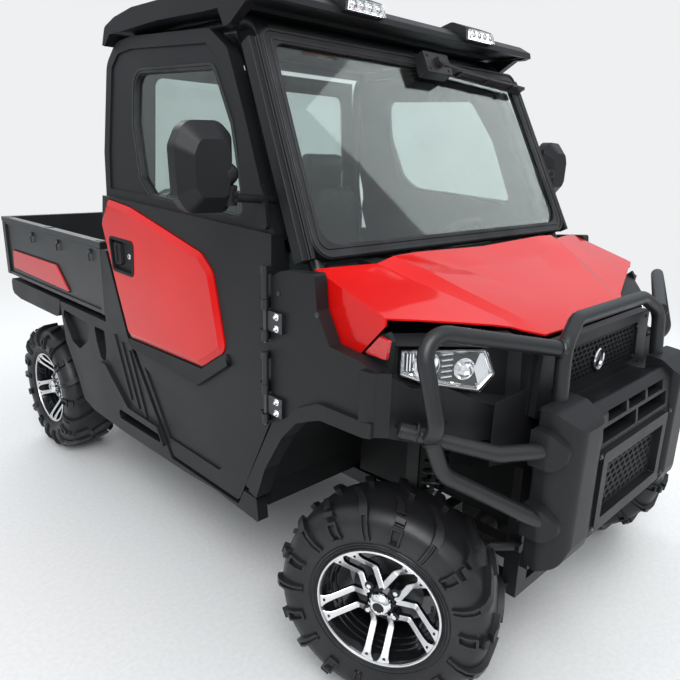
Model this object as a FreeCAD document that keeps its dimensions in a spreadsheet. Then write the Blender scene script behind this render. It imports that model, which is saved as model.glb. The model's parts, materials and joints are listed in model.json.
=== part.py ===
"""Side by side utility vehicle with a closed cab, a dumping cargo bed and a bull bar.

Millimetres, +Z up, the front points along -Y and the vehicle's left along +X.
Every sub-part is drawn from the front axle's line on the ground: x across, y back from
the front axle and z up. Its Placement then moves it, so that the origin lies on the
ground under the middle of the whole vehicle.
"""
import FreeCAD, Part
import math
import os
import Sketcher
from FreeCAD import Placement, Rotation, Vector

doc = FreeCAD.newDocument("side_by_side")

# alias, value, what it drives
SIZES = (
    ("wheelbase", 2220, "front axle to rear axle"),
    ("front_reach", 405, "front axle to the bumper guards' face"),
    ("tyre_radius", 325, "26 inch tyre"),
    ("front_tyre_width", 229, "front tyre"),
    ("rear_tyre_width", 265, "rear tyre"),
    ("front_rim_width", 197, "front rim over its lips"),
    ("rear_rim_width", 228, "rear rim over its lips"),
    ("rim_radius", 180, "outer lip of a rim"),
    ("rim_seat", 163, "inside of the rim's barrel"),
    ("front_track", 1288, "between the front wheels' middles"),
    ("rear_track", 1320, "between the rear wheels' middles"),
    ("kingpin_offset", 30, "kingpin to the front wheel's middle"),
    ("steer_rest", 23.4, "front wheels' angle to the left as parked"),
    ("body_half", 755, "door skin from the middle"),
    ("door_wall", 46, "whole thickness of a door"),
    ("door_gap", 6, "gap round a door"),
    ("door_hinge_side", 783, "door hinge pin from the middle"),
    ("door_hinge_back", 373, "door hinge pin"),
    ("tumble_angle", 6.6, "inward lean of the cab above the waist"),
    ("waist", 1200, "height where the cab starts to lean in"),
    ("cab_tube", 44, "diameter of the cab frame's tubes"),
    ("windshield_height", 688, "windshield over its seal, along the slope"),
    ("hood_hinge_back", 250, "hood hinge"),
    ("hood_hinge_drop", 51, "hood hinge below the hood's rear edge"),
    ("hood_wall", 5, "hood skin"),
    ("bed_front", 1497, "front of the cargo bed"),
    ("bed_length", 1215, "outside, without the tailgate"),
    ("bed_half", 745, "side wall from the middle"),
    ("bed_floor", 846, "underside of the cargo bed"),
    ("bed_rail", 1155, "top of the cargo bed"),
    ("bed_wall", 28, "thickness of a wall"),
    ("tailgate_wall", 30, "thickness of the tailgate"),
    ("bed_pivot_back", 2670, "dump hinge"),
    ("bed_pivot_drop", 46, "dump hinge below the bed's underside"),
    ("bar_tube", 42, "diameter of the bull bar's tubes"),
    ("frame_half", 290, "side rail of the frame from the middle"),
    ("frame_tube", 50, "section of the frame's rails"),
    ("frame_height", 345, "underside of the frame's rails"),
    ("cradle_height", 235, "underside of the axle cradles"),
    ("hub_back", 4, "back of a wheel's hub, inboard of the wheel's middle"),
    ("receiver", 63.5, "outside of the hitch receiver"),
    ("receiver_bore", 51, "inside of the hitch receiver"),
    ("receiver_pin", 16, "hole for the hitch pin"),
    ("seat_width", 560, "one seat"),
    ("seat_side", 330, "middle of a seat from the middle of the cab"),
    ("seat_base_height", 700, "underside of a seat cushion"),
)

sheet = doc.addObject("Spreadsheet::Sheet", "Sizes")
for row, (alias, value, note) in enumerate(SIZES, 1):
    sheet.set("A%d" % row, note)
    sheet.set("B%d" % row, str(value))
    sheet.setAlias("B%d" % row, alias)
doc.recompute()


class Size(float):
    """A number that also keeps the spreadsheet expression that gives it."""

    def __new__(cls, value, text):
        number = float.__new__(cls, value)
        number.text = text
        return number

    def __add__(self, other):
        return Size(float(self) + float(other), "(%s + %s)" % (self.text, text_of(other)))

    __radd__ = __add__

    def __neg__(self):
        return Size(-float(self), "(-1 * %s)" % self.text)

    def __sub__(self, other):
        return Size(float(self) - float(other), "(%s - %s)" % (self.text, text_of(other)))

    def __rsub__(self, other):
        return Size(float(other) - float(self), "(%s - %s)" % (text_of(other), self.text))

    def __mul__(self, other):
        return Size(float(self) * float(other), "(%s * %s)" % (self.text, text_of(other)))

    __rmul__ = __mul__

    def __truediv__(self, other):
        return Size(float(self) / float(other), "(%s / %s)" % (self.text, text_of(other)))


def text_of(value):
    return value.text if isinstance(value, Size) else repr(float(value))


def size(alias):
    return Size(getattr(sheet, alias), "Sizes." + alias)


WHEELBASE = size("wheelbase")
TYRE_RADIUS = size("tyre_radius")
RIM_RADIUS = size("rim_radius")
RIM_SEAT = size("rim_seat")
BODY_HALF = size("body_half")
DOOR_WALL = size("door_wall")
DOOR_GAP = size("door_gap")
CAB_INNER = BODY_HALF - DOOR_WALL - DOOR_GAP
WAIST = size("waist")
CAB_TUBE = size("cab_tube")
BED_FRONT = size("bed_front")
BED_REAR = BED_FRONT + size("bed_length")
BED_HALF = size("bed_half")
BED_FLOOR = size("bed_floor")
BED_RAIL = size("bed_rail")
BED_WALL = size("bed_wall")
TAILGATE_WALL = size("tailgate_wall")
BED_CLEARANCE = 8
HINGE_X = 230.0
HINGE_WALL = 30.0
HINGE_PIN = 9.0
PIN_FIT = 0.06
SEAM = 0.5
FRAME_HALF = size("frame_half")
FRAME_TUBE = size("frame_tube")
FRAME_LOW = size("frame_height")
CRADLE_LOW = size("cradle_height")
HUB_BACK = size("hub_back")
FRONT_END = -size("front_reach")
REAR_END = BED_REAR + BED_CLEARANCE + TAILGATE_WALL
AXLE_LINE = -(FRONT_END + REAR_END) / 2


def bind(obj, prop, value):
    """Sets a property, by an expression where the value came from the sheet."""
    if isinstance(value, Size):
        obj.setExpression(prop, value.text)
    else:
        setattr(obj, prop, value)


def place(obj, x=0.0, y=0.0, z=0.0):
    """Binds where a primitive or body stands."""
    for axis, value in (("x", x), ("y", y), ("z", z)):
        obj.setExpression("Placement.Base." + axis, text_of(value))
    return obj


# Expression-bound solids

def box(name, low, high):
    """A block between two corners."""
    obj = doc.addObject("Part::Box", name)
    for prop, start, end in zip(("Length", "Width", "Height"), low, high):
        bind(obj, prop, end - start)
    return place(obj, *low)


def post(name, radius, height, foot, direction=(0, 0, 1)):
    """A cylinder from its foot along one of the axes."""
    obj = doc.addObject("Part::Cylinder", name)
    bind(obj, "Radius", radius)
    bind(obj, "Height", height)
    obj.Placement = Placement(Vector(0, 0, 0), Rotation(Vector(0, 0, 1), Vector(*direction)))
    return place(obj, *foot)


def cut(name, base, tool):
    obj = doc.addObject("Part::Cut", name)
    obj.Base = base
    obj.Tool = tool
    return obj


def fuse(name, shapes):
    obj = doc.addObject("Part::MultiFuse", name)
    obj.Shapes = shapes
    return obj


def group(name, shapes):
    """Separate solids that share one name."""
    obj = doc.addObject("Part::Compound", name)
    obj.Links = shapes
    return obj


PLANES = {"across": "XZ_Plane", "side": "YZ_Plane", "flat": "XY_Plane"}


def sketch(body, plane, corners, name):
    """A closed outline of straight lines, each corner bound to the sheet."""
    drawing = body.newObject("Sketcher::SketchObject", name)
    role = PLANES[plane]
    support = [item for item in body.Origin.OriginFeatures if item.Role == role][0]
    drawing.AttachmentSupport = (support, [""])
    drawing.MapMode = "FlatFace"
    count = len(corners)
    for start, end in zip(corners, corners[1:] + corners[:1]):
        drawing.addGeometry(Part.LineSegment(Vector(*start), Vector(*end)))
    for index in range(count):
        drawing.addConstraint(Sketcher.Constraint("Coincident", index, 2, (index + 1) % count, 1))
    for index, corner in enumerate(corners):
        for kind, value in zip(("DistanceX", "DistanceY"), corner):
            number = drawing.addConstraint(Sketcher.Constraint(kind, -1, 1, index, 1, float(value)))
            if isinstance(value, Size):
                drawing.setExpression("Constraints[%d]" % number, value.text)
    return drawing


def padded_body(name, plane, corners, length, start=0.0):
    """A PartDesign body: one outline, padded from start along the plane's normal."""
    body = doc.addObject("PartDesign::Body", name)
    pad = body.newObject("PartDesign::Pad", name + "_pad")
    pad.Profile = sketch(body, plane, corners, name + "_outline")
    bind(pad, "Length", length)
    axis = {"across": "y", "side": "x", "flat": "z"}[plane]
    if plane == "across":
        pad.Reversed = True
    body.setExpression("Placement.Base." + axis, text_of(start))
    return body


# Solids drawn in code, from the same sizes

def outline(points, plane, level):
    """A closed wire through (u, v) or (u, v, corner radius) in a plane at a level."""
    def spot(u, v):
        if plane == "side":
            return Vector(level, u, v)
        if plane == "across":
            return Vector(u, level, v)
        return Vector(u, v, level)

    count = len(points)
    ends = []
    for index, point in enumerate(points):
        here = Vector(point[0], point[1], 0)
        radius = point[2] if len(point) > 2 else 0
        if not radius:
            ends.append((here, None, here))
            continue
        before = Vector(*points[index - 1][:2], 0) - here
        after = Vector(*points[(index + 1) % count][:2], 0) - here
        before.normalize()
        after.normalize()
        half = before.getAngle(after) / 2
        reach = radius / math.tan(half)
        middle = before + after
        middle.normalize()
        crown = here + middle * (radius / math.sin(half) - radius)
        ends.append((here + before * reach, crown, here + after * reach))
    edges = []
    for index, (start, crown, end) in enumerate(ends):
        if crown is not None:
            edges.append(Part.Arc(*(spot(p.x, p.y) for p in (start, crown, end))).toShape())
        follow = ends[(index + 1) % count][0]
        if (follow - end).Length > 0.001:
            edges.append(Part.makeLine(spot(end.x, end.y), spot(follow.x, follow.y)))
    return Part.Wire(edges)


def slab(points, plane, low, high):
    """An outline given thickness from one level to another."""
    face = Part.Face(outline(points, plane, low))
    thick = high - low
    step = {"side": Vector(thick, 0, 0), "across": Vector(0, thick, 0), "flat": Vector(0, 0, thick)}
    return face.extrude(step[plane])


def tube_path(points, radius, bend):
    """A round bar along points, each corner bent by an arc of the bend radius."""
    spots = [Vector(*point) for point in points]
    edges = []
    last = spots[0]
    for before, here, after in zip(spots, spots[1:], spots[2:]):
        back = before - here
        ahead = after - here
        room = 0.49 * min(back.Length, ahead.Length)
        back.normalize()
        ahead.normalize()
        half = back.getAngle(ahead) / 2
        reach = min(bend / math.tan(half), room)
        arc = reach * math.tan(half)
        middle = back + ahead
        middle.normalize()
        crown = here + middle * (arc / math.sin(half) - arc)
        start = here + back * reach
        edges.append(Part.makeLine(last, start))
        last = here + ahead * reach
        edges.append(Part.Arc(start, crown, last).toShape())
    edges.append(Part.makeLine(last, spots[-1]))
    path = Part.Wire(edges)
    circle = Part.Wire(Part.makeCircle(radius, spots[0], spots[1] - spots[0]))
    return path.makePipeShell([circle], True, False)


def rod(start, end, radius):
    start = Vector(*start)
    run = Vector(*end) - start
    return Part.makeCylinder(radius, run.Length, start, run)


def block(low, high):
    return Part.makeBox(high[0] - low[0], high[1] - low[1], high[2] - low[2], Vector(*low))


def mirrored(shape):
    return shape.mirror(Vector(0, 0, 0), Vector(1, 0, 0))


def both(shape):
    """A shape and its twin on the other side, apart."""
    return Part.makeCompound([shape, mirrored(shape)])


def joined(shapes):
    """One solid from shapes that meet."""
    return shapes[0].multiFuse(shapes[1:]).removeSplitter()


def leaned(shape):
    """Leans a right-hand side panel in above the waist."""
    turned = shape.copy()
    turned.rotate(Vector(-BODY_HALF, 0, WAIST), Vector(0, 1, 0), float(size("tumble_angle")))
    return turned


nodes = []


def keep(obj, name, back=0.0):
    """Makes a document object a sub-part: its own label, and its place on the vehicle."""
    obj.Label = name
    obj.setExpression("Placement.Base.y", text_of(AXLE_LINE + back))
    nodes.append(obj)
    return obj


def drawn(name, shape):
    """A sub-part whose shape is drawn in code."""
    obj = doc.addObject("Part::Feature", name)
    obj.Shape = Part.makeCompound([shape]) if not shape.Placement.isIdentity() else shape
    return keep(obj, name)


# Wheels

LUG_DEPTH = 17.0
LUG_PAIRS = 9
TYRE_SIDES = 18
SPOKE_PAIRS = 5
SPOKE_WIDTH = 18.0
SPOKE_OFFSET = 26.0
DISC_RADIUS = 105.0


def turned(points):
    """A solid turned round the X axis from points of (along the axle, radius, corner radius)."""
    return Part.Face(outline(points, "across", 0)).revolve(Vector(0, 0, 0), Vector(1, 0, 0), 360)


def carcass(width, rim_width):
    """Tyre without its lugs, in flat facets: (along the axle, radius) from bead to bead."""
    half = width / 2
    bead = rim_width / 2 - 8
    spread = 1 / math.cos(math.pi / TYRE_SIDES)
    seat = (RIM_RADIUS + SEAM) * spread
    tread = TYRE_RADIUS - LUG_DEPTH
    profile = [
        (-bead, seat), (-half * 0.95, RIM_RADIUS + 50), (-half * 0.94, tread - 40), (-half * 0.70, tread - 4),
        (half * 0.70, tread - 4), (half * 0.94, tread - 40), (half * 0.95, RIM_RADIUS + 50), (bead, seat),
    ]
    rings = []
    for number in range(TYRE_SIDES):
        angle = 2 * math.pi * number / TYRE_SIDES
        rings.append([Vector(x, r * math.sin(angle), r * math.cos(angle)) for x, r in profile])
    faces = []
    for ring, after in zip(rings, rings[1:] + rings[:1]):
        for one in range(len(profile)):
            two = (one + 1) % len(profile)
            faces.append(Part.Face(Part.makePolygon([ring[one], ring[two], after[two], after[one], ring[one]])))
    solid = Part.makeSolid(Part.makeShell(faces))
    if solid.Volume < 0:
        solid.reverse()
    return solid


def lug(width, start, thick, slant, turn, side):
    """One bar from the tread's middle over the shoulder and down the sidewall."""
    half = width / 2
    top = TYRE_RADIUS
    base = top - LUG_DEPTH - 8
    profile = [
        (start * half, base), (start * half, top), (half * 0.80, top), (half, top - 34),
        (half * 0.96, top - 82), (half * 0.80, base - 20),
    ]
    bar = slab(profile, "across", -thick / 2, thick / 2)
    bar.rotate(Vector(half / 2, 0, 0), Vector(0, 0, 1), slant)
    if side < 0:
        bar = mirrored(bar)
    bar.rotate(Vector(0, 0, 0), Vector(1, 0, 0), turn)
    return bar


LUGS = (
    # start of the bar as a share of the half width, thickness, slant, place in the pitch
    (0.06, 17.0, 14.0, 0.0),
    (0.40, 30.0, 4.0, 0.5),
)


def tyre(width, rim_width):
    pitch = 360 / LUG_PAIRS
    bars = []
    for side, shift in ((1, 0.0), (-1, 0.25)):
        for number in range(LUG_PAIRS):
            for start, thick, slant, step in LUGS:
                bars.append(lug(width, start, thick, slant, pitch * (number + step + shift), side))
    return carcass(width, rim_width).multiFuse(bars)


def rim(width):
    """Barrel, hub and five pairs of straight spokes that dish inward, outer face at -width/2."""
    half = width / 2
    barrel = turned([
        (-half, RIM_RADIUS - 7), (-half, RIM_RADIUS), (-half + 14, RIM_RADIUS), (-half + 20, RIM_SEAT + 10),
        (half - 20, RIM_SEAT + 10), (half - 14, RIM_RADIUS), (half, RIM_RADIUS), (half, RIM_RADIUS - 7),
        (half - 16, RIM_SEAT + 3), (half - 24, RIM_SEAT), (-half + 40, RIM_SEAT - 2), (-half + 12, RIM_SEAT + 4)])
    back = float(HUB_BACK)
    hub = turned([(-half + 34, 0), (-half + 34, 33), (-half + 46, 36), (-half + 46, 46), (back - 8, 50),
                  (back - 8, DISC_RADIUS), (back - 2, DISC_RADIUS), (back - 2, 42), (back, 42), (back, 0)])
    profile = [(-half + 11, RIM_SEAT + 7), (-half + 60, 88), (-half + 45, 40), (-half + 70, 40), (-half + 78, 88),
               (-half + 30, RIM_SEAT + 7)]
    bars = []
    for pair_number in range(SPOKE_PAIRS):
        for side in (-1, 1):
            middle = side * SPOKE_OFFSET
            bar = slab(profile, "across", middle - SPOKE_WIDTH / 2, middle + SPOKE_WIDTH / 2)
            bar.rotate(Vector(0, 0, 0), Vector(1, 0, 0), 360 / SPOKE_PAIRS * (pair_number + 0.5))
            bars.append(bar)
    return barrel.multiFuse([hub] + bars)


WHEELS = (
    # axle, side of the vehicle, station behind the front axle, steered
    ("front", 1, 0.0, True),
    ("front", -1, 0.0, True),
    ("rear", 1, WHEELBASE, False),
    ("rear", -1, WHEELBASE, False),
)
STEER = size("steer_rest")


def stand_wheel(obj, side, station, track, steered):
    """Stands a wheel drawn round the X axis, outer face towards -X, on its axle."""
    turn = (180 if side > 0 else 0) + (float(STEER) if steered else 0)
    obj.Placement = Placement(Vector(0, 0, 0), Rotation(Vector(0, 0, 1), turn))
    x = side * track / 2
    y = 0.0 + station
    if steered:
        pin = x - side * size("kingpin_offset")
        x = pin + Size(math.cos(math.radians(STEER)), "cos(%s)" % STEER.text) * (
            side * size("kingpin_offset"))
        y = Size(math.sin(math.radians(STEER)), "sin(%s)" % STEER.text) * (
            side * size("kingpin_offset"))
    obj.setExpression("Placement.Base.x", text_of(x))
    obj.setExpression("Placement.Base.y", text_of(AXLE_LINE + y))
    obj.setExpression("Placement.Base.z", text_of(TYRE_RADIUS))


def wheels():
    shapes = {}
    for axle in ("front", "rear"):
        rim_width = float(size(axle + "_rim_width"))
        shapes["tyre", axle] = tyre(float(size(axle + "_tyre_width")), rim_width)
        shapes["rim", axle] = rim(rim_width)
    for axle, side, station, steered in WHEELS:
        for kind in ("tyre", "rim"):
            name = "%s_%s_%s" % (kind, axle, "left" if side > 0 else "right")
            obj = doc.addObject("Part::Feature", name)
            obj.Shape = shapes[kind, axle]
            obj.Label = name
            stand_wheel(obj, side, station, size(axle + "_track"), steered)
            nodes.append(obj)


def knuckles():
    """Upright between the wishbones' ends, its stub reaching the wheel's hub."""
    offset = float(size("kingpin_offset"))
    pin = float(size("front_track")) / 2 - offset
    half = ARM_SPREAD - ARM_END - SEAM
    for name, side in (("left", 1), ("right", -1)):
        reach = side * (offset - float(HUB_BACK) - SEAM)
        upright = joined([
            block((side * pin - 22, -24, TYRE_RADIUS - half), (side * pin + 22, 24, TYRE_RADIUS + half)),
            rod((side * pin, 0, TYRE_RADIUS), (side * pin + reach, 0, TYRE_RADIUS), 40),
            block((side * pin - 10, 0, TYRE_RADIUS - 30), (side * pin + 10, 100, TYRE_RADIUS - 12)),
        ])
        upright.rotate(Vector(side * pin, 0, 0), Vector(0, 0, 1), float(STEER))
        drawn("knuckle_" + name, upright)


# Frame and running gear

ARM_SPREAD = 78.0
ARM_END = 18.0
ARM_TUBE = 15.0
COIL_RADIUS = 38.0
TOWER_LOW = 726.0
AXLES = (
    # name, station, track, height of the uprights
    ("front", 0.0, size("front_track"), 800.0),
    ("rear", WHEELBASE, size("rear_track"), 815.0),
)
UPRIGHT = 225.0
CRADLE_DEEP = 40.0
STRAP = 6.0


def pair(name, low, high):
    """A block and its twin on the other side, as two boxes."""
    x0, y0, z0 = low
    x1, y1, z1 = high
    return [box(name + "_left", low, high), box(name + "_right", (-x1, y0, z0), (-x0, y1, z1))]


def carrier(end, station, height):
    """Cradle, four uprights, their bulkheads and the shock towers of one axle, standing round the rails."""
    inner = FRAME_HALF - FRAME_TUBE
    outer = FRAME_HALF
    rail_top = FRAME_LOW + FRAME_TUBE
    parts = pair("cradle_" + end, (inner, station - UPRIGHT, CRADLE_LOW),
                 (outer, station + UPRIGHT, CRADLE_LOW + CRADLE_DEEP))
    for place_name, start in (("front", -UPRIGHT), ("rear", UPRIGHT - FRAME_TUBE)):
        back = station + start
        label = "%s_%s" % (end, place_name)
        parts += pair("post_low_" + label, (inner, back, CRADLE_LOW), (outer, back + FRAME_TUBE, FRAME_LOW - SEAM))
        parts += pair("post_" + label, (inner, back, rail_top + SEAM), (outer, back + FRAME_TUBE, height))
        parts += pair("strap_" + label, (outer + SEAM, back, CRADLE_LOW), (outer + STRAP, back + FRAME_TUBE, height))
        parts.append(box("bulkhead_" + label, (-outer - STRAP, back, height - FRAME_TUBE),
                         (outer + STRAP, back + FRAME_TUBE, height)))
        parts.append(box("cradle_bar_" + label, (-outer - STRAP, back, CRADLE_LOW),
                         (outer + STRAP, back + FRAME_TUBE, CRADLE_LOW + CRADLE_DEEP)))
    parts += pair("tower_" + end, (inner, station + 20, TOWER_LOW + SEAM), (385.0, station + UPRIGHT, TOWER_LOW + 30))
    return parts


def frame():
    """Ladder frame, a carrier at each axle, the dump hinge's lugs and the hitch receiver."""
    inner = FRAME_HALF - FRAME_TUBE
    top = FRAME_LOW + FRAME_TUBE
    front = -250.0
    rear = BED_REAR - 100
    parts = pair("rail", (inner, front, FRAME_LOW), (FRAME_HALF, rear, top))
    for number, station in enumerate((front, 420.0, 960.0, 1500.0, rear - FRAME_TUBE)):
        parts.append(box("cross_member_%d" % number, (-inner, station, FRAME_LOW),
                         (inner, station + FRAME_TUBE, top)))
    keep(fuse("frame", parts), "frame")

    parts = carrier("front", AXLES[0][1], AXLES[0][3])
    parts += pair("bumper_bracket", (inner, front, 520.0), (FRAME_HALF, -UPRIGHT + 1, 780.0))
    keep(fuse("front_carrier", parts), "front_carrier")

    parts = carrier("rear", AXLES[1][1], AXLES[1][3])
    pivot_back = size("bed_pivot_back")
    pivot_height = BED_FLOOR - size("bed_pivot_drop")
    beam_low = pivot_height - 100
    beam_front = WHEELBASE + UPRIGHT - 10
    parts += pair("bed_beam", (inner, beam_front, beam_low), (FRAME_HALF, pivot_back - 20, beam_low + FRAME_TUBE))
    parts += pair("bed_lug", (HINGE_X, pivot_back - 80, beam_low + 5),
                  (HINGE_X + HINGE_WALL, pivot_back + 20, pivot_height + 20))
    parts.append(box("bed_beam_bar", (-FRAME_HALF, pivot_back - 80, beam_low),
                     (FRAME_HALF, pivot_back - 30, beam_low + FRAME_TUBE)))
    pin_hole = post("bed_pin_hole", HINGE_PIN + PIN_FIT, 2 * FRAME_HALF, (-FRAME_HALF, pivot_back, pivot_height), (1, 0, 0))
    keep(cut("rear_carrier", fuse("rear_carrier_whole", parts), pin_hole), "rear_carrier")

    receiver = size("receiver")
    bore = size("receiver_bore")
    wall = (receiver - bore) / 2
    mouth = REAR_END - 10
    start = rear + SEAM
    tools = [
        box("receiver_hole", (-bore / 2, start + 10, FRAME_LOW + wall), (bore / 2, mouth + 10, FRAME_LOW + wall + bore)),
        post("receiver_pin_hole", size("receiver_pin") / 2, receiver + 20,
             (-receiver / 2 - 10, mouth - 50, FRAME_LOW + receiver / 2), (1, 0, 0)),
    ]
    body = box("receiver_body", (-receiver / 2, start, FRAME_LOW), (receiver / 2, mouth, FRAME_LOW + receiver))
    keep(cut("hitch_receiver", body, fuse("receiver_holes", tools)), "hitch_receiver")


def running_gear():
    engine_front = 1490.0
    low = FRAME_LOW + FRAME_TUBE + SEAM
    engine = box("engine_block", (-220.0, engine_front, low), (220.0, engine_front + 500, 740.0))
    keep(engine, "engine_block", engine_front)
    parts = []
    for end, station, track, height in AXLES:
        ear = FRAME_HALF - FRAME_TUBE - SEAM
        shaft = track - 2 * 130
        parts.append(fuse("drive_" + end, [
            box("gearcase_" + end, (-110.0, station - 110, TYRE_RADIUS - 60), (110.0, station + 110, TYRE_RADIUS + 90)),
            box("gearcase_ears_" + end, (-ear, station - 25, CRADLE_LOW + 15), (ear, station + 25, CRADLE_LOW + 38)),
            post("axle_shaft_" + end, 14.0, shaft, (-shaft / 2, station + 0.0, TYRE_RADIUS), (1, 0, 0)),
        ]))
    keep(group("drive_units", parts), "drive_units")


def suspension():
    """Wishbones front and rear, the rear uprights, and the shocks on the lower wishbones."""
    arms = []
    shocks = []
    centre = float(TYRE_RADIUS)
    inner = -float(FRAME_HALF) - STRAP - ARM_TUBE - SEAM
    for end, axle, track, height in AXLES:
        station = float(axle)
        outer = -(float(track) / 2 - float(size("kingpin_offset")))
        shock_x = -415.0
        pieces = []
        # height from the axle, half the wishbone's base, rise of its inner end
        for rise, base, lift in ((-ARM_SPREAD, 180, 20), (ARM_SPREAD, 215, 20)):
            level = centre + rise
            apex = (outer, station, level)
            wishbone = [rod((outer, station, level - ARM_END), (outer, station, level + ARM_END), 24)]
            for side in (-1, 1):
                foot = station + side * base
                elbow = (outer + 110, station + side * 34, level + lift / 2)
                wishbone.append(tube_path([(outer + 8, station, level), elbow, (inner, foot, level + lift)], ARM_TUBE, 60))
                wishbone.append(rod((inner, foot - 20, level + lift), (inner, foot + 20, level + lift), ARM_TUBE))
            if rise < 0:
                wishbone.append(rod((shock_x, station - 110, level + 12), (shock_x, station + 110, level + 12), 12))
            pieces.append(joined(wishbone))
        if end == "rear":
            reach = float(size("kingpin_offset")) - float(HUB_BACK) - SEAM
            pieces = [joined(pieces + [
                block((outer - 22, station - 24, centre - ARM_SPREAD), (outer + 22, station + 24, centre + ARM_SPREAD)),
                rod((outer, station, centre), (outer - reach, station, centre), 40)])]
        arms += pieces
        foot = Vector(shock_x, station + 55, centre - ARM_SPREAD + 32)
        head = Vector(-345, station + 55, TOWER_LOW - 3)
        run = head - foot
        length = run.Length
        run.normalize()
        coils = [Part.makeCylinder(20, length, foot, run)]
        lowest = 130
        turns = 8
        for turn in range(turns):
            spot = foot + run * (lowest + (length - lowest - 40) * turn / (turns - 1))
            coils.append(Part.makeCylinder(COIL_RADIUS, 14, spot, run))
        shocks.append(joined(coils))
    drawn("suspension_arms", Part.makeCompound([both(arm) for arm in arms]))
    drawn("shocks", Part.makeCompound([both(shock) for shock in shocks]))


# Cab

SIDE_THICK = 40
TUB_REAR = 1440.0
REAR_PANEL_LOW = 1150.0
# cab frame on the right side, from the front bulkhead over the roof and down to the rail
CAB_PATH = (
    # across, back, up
    (-310.2, 200, 778), (-672, 223.7, 1068), (-600, 629.7, 1891.5), (-600, 1412, 1891.5), (-675, 1466, 830),
    (-675, 1466, 372), (-290.5, 1466, 372),
)


def cab_tub():
    """Floor, toe board, seat box and rear wall, one moulded tub."""
    half = CAB_INNER - 10
    low = FRAME_LOW + FRAME_TUBE + SEAM
    seat_base = size("seat_base_height")
    floor = box("tub_floor", (-half, 480.0, low), (half, 1016.0, low + 22))
    toe = padded_body("tub_toe_board", "side",
                      [(480.0, low), (506.0, low), (430.0, 700.0), (330.0, 1000.0), (310.0, 1000.0), (406.0, 700.0)],
                      2 * half, -half)
    riser = box("tub_seat_riser", (-half, 1000.0, low), (half, 1016.0, seat_base - SEAM))
    deck = box("tub_seat_deck", (-half, 1000.0, seat_base - 20), (half, TUB_REAR - 15, seat_base - SEAM))
    rear = box("tub_rear_wall", (-half + 67, TUB_REAR - 15, low), (half - 67, TUB_REAR, REAR_PANEL_LOW - SEAM))
    ledge = pair("tub_ledge", (half - 20, 600.0, low - 22), (BODY_HALF - SIDE_THICK + 5 - SEAM, 990.0, low + 1))
    keep(fuse("cab_tub", [floor, toe, riser, deck, rear] + ledge), "cab_tub")


# corners of the fixed panel behind and under the door: back, up, corner radius
SIDE_PANEL = (
    (456, 455, 8), (445, 372, 8), (700, 385, 0), (921, 372, 0), (1400, 363, 0), (1680, 368, 20),
    (1789, 391, 20), (1845, 495, 30), (1948, 635, 30), (1973, 759, 10), (1980, 826, 10),
    (1488, 826, 0), (1486, 1130, 6), (1436, 1130, 6), (1369, 978, 30), (1294, 800, 30), (993, 392, 20),
    (556, 392, 6), (524, 455, 0),
)


# hollows in the side panel behind the door: back, up, corner radius
SIDE_POCKETS = (
    ((1940, 792, 14), (1952, 758, 20), (1868, 655, 30), (1790, 636, 30), (1700, 690, 30), (1652, 778, 14)),
    ((1612, 782, 14), (1596, 716, 30), (1566, 650, 24), (1522, 640, 20), (1506, 700, 14), (1510, 782, 10)),
)
# the step below the pockets, and the ribs in front of it
STEP_HOLLOW = ((1392, 472, 16), (1392, 432, 16), (1040, 440, 10), (1062, 472, 10))
STEP_LEDGE = (
    (1540, 640, 10), (1500, 640, 10), (1310, 500, 40), (1074, 498, 8), (1024, 428, 8), (1400, 420, 40),
    (1556, 600, 20),
)
RIB_TOP = (1400, 790)
RIB_PITCH = 62
RIB_FALL = 250


def panel_front(base):
    """Where a rib may stand on the side panel: between the door's rear edge and the step."""
    return slab([(1440, 900), (1372, 985), (1296, 802), (1060, 470), (1310, 520), (1500, 660)], "side", base - 8, base + 4)


def side_panels():
    """Moulded panel under and behind the door, with its pockets, step and ribs."""
    base = -float(BODY_HALF) - 5
    panel = slab(SIDE_PANEL, "side", base, base + SIDE_THICK)
    ledge = slab(STEP_LEDGE, "side", base - 14, base + 4)
    pockets = [slab(pocket, "side", base - 20, base + SIDE_THICK - 12) for pocket in SIDE_POCKETS]
    hollow = slab(STEP_HOLLOW, "side", base - 20, base + SIDE_THICK - 12)
    ribs = []
    for number in range(3):
        back = RIB_TOP[0] - number * RIB_PITCH
        up = RIB_TOP[1] - number * 20
        rib = slab([(back, up), (back + 14, up), (back + 14 - RIB_FALL * 0.45, up - RIB_FALL), (back - RIB_FALL * 0.45, up - RIB_FALL)],
                   "side", base - 6, base + 3)
        ribs.append(rib.common(panel_front(base)))
    solid = joined([panel, ledge] + ribs).cut(Part.makeCompound(pockets + [hollow]))
    drawn("side_panels", both(solid))


FENDER = (
    # back, up, corner radius: outside of a front fender
    (427, 479, 0), (382, 597, 60), (300, 731, 60), (237, 798, 40), (143, 838, 60), (-17, 844, 60),
    (-44, 850, 0), (-44, 1020, 0), (18, 1036, 0), (122, 1046, 0), (172, 1131, 0),
    (185, 1225, 10), (322, 1212, 10), (365, 1190, 10), (364, 748, 0), (502, 487, 6),
)


# front wrap of a fender in its own plane: along from its outer corner, up, corner radius
WRAP_START = (-742, -58)
WRAP_END = (-440, -214)
WRAP = ((-14, 1018), (68, 970, 30), (150, 968, 30), (235, 932), (338, 868), (338, 812, 20), (140, 806, 40), (-14, 850))
# raised band along the wheel arch: back, up, corner radius
ARCH_BAND = (
    (427, 479), (382, 597, 60), (300, 731, 60), (237, 798, 40), (143, 838, 60), (-17, 844, 20), (-44, 850),
    (-44, 890), (-17, 886, 20), (150, 884, 60), (246, 838, 60), (318, 748, 60), (408, 612, 60), (466, 487),
)


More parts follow.
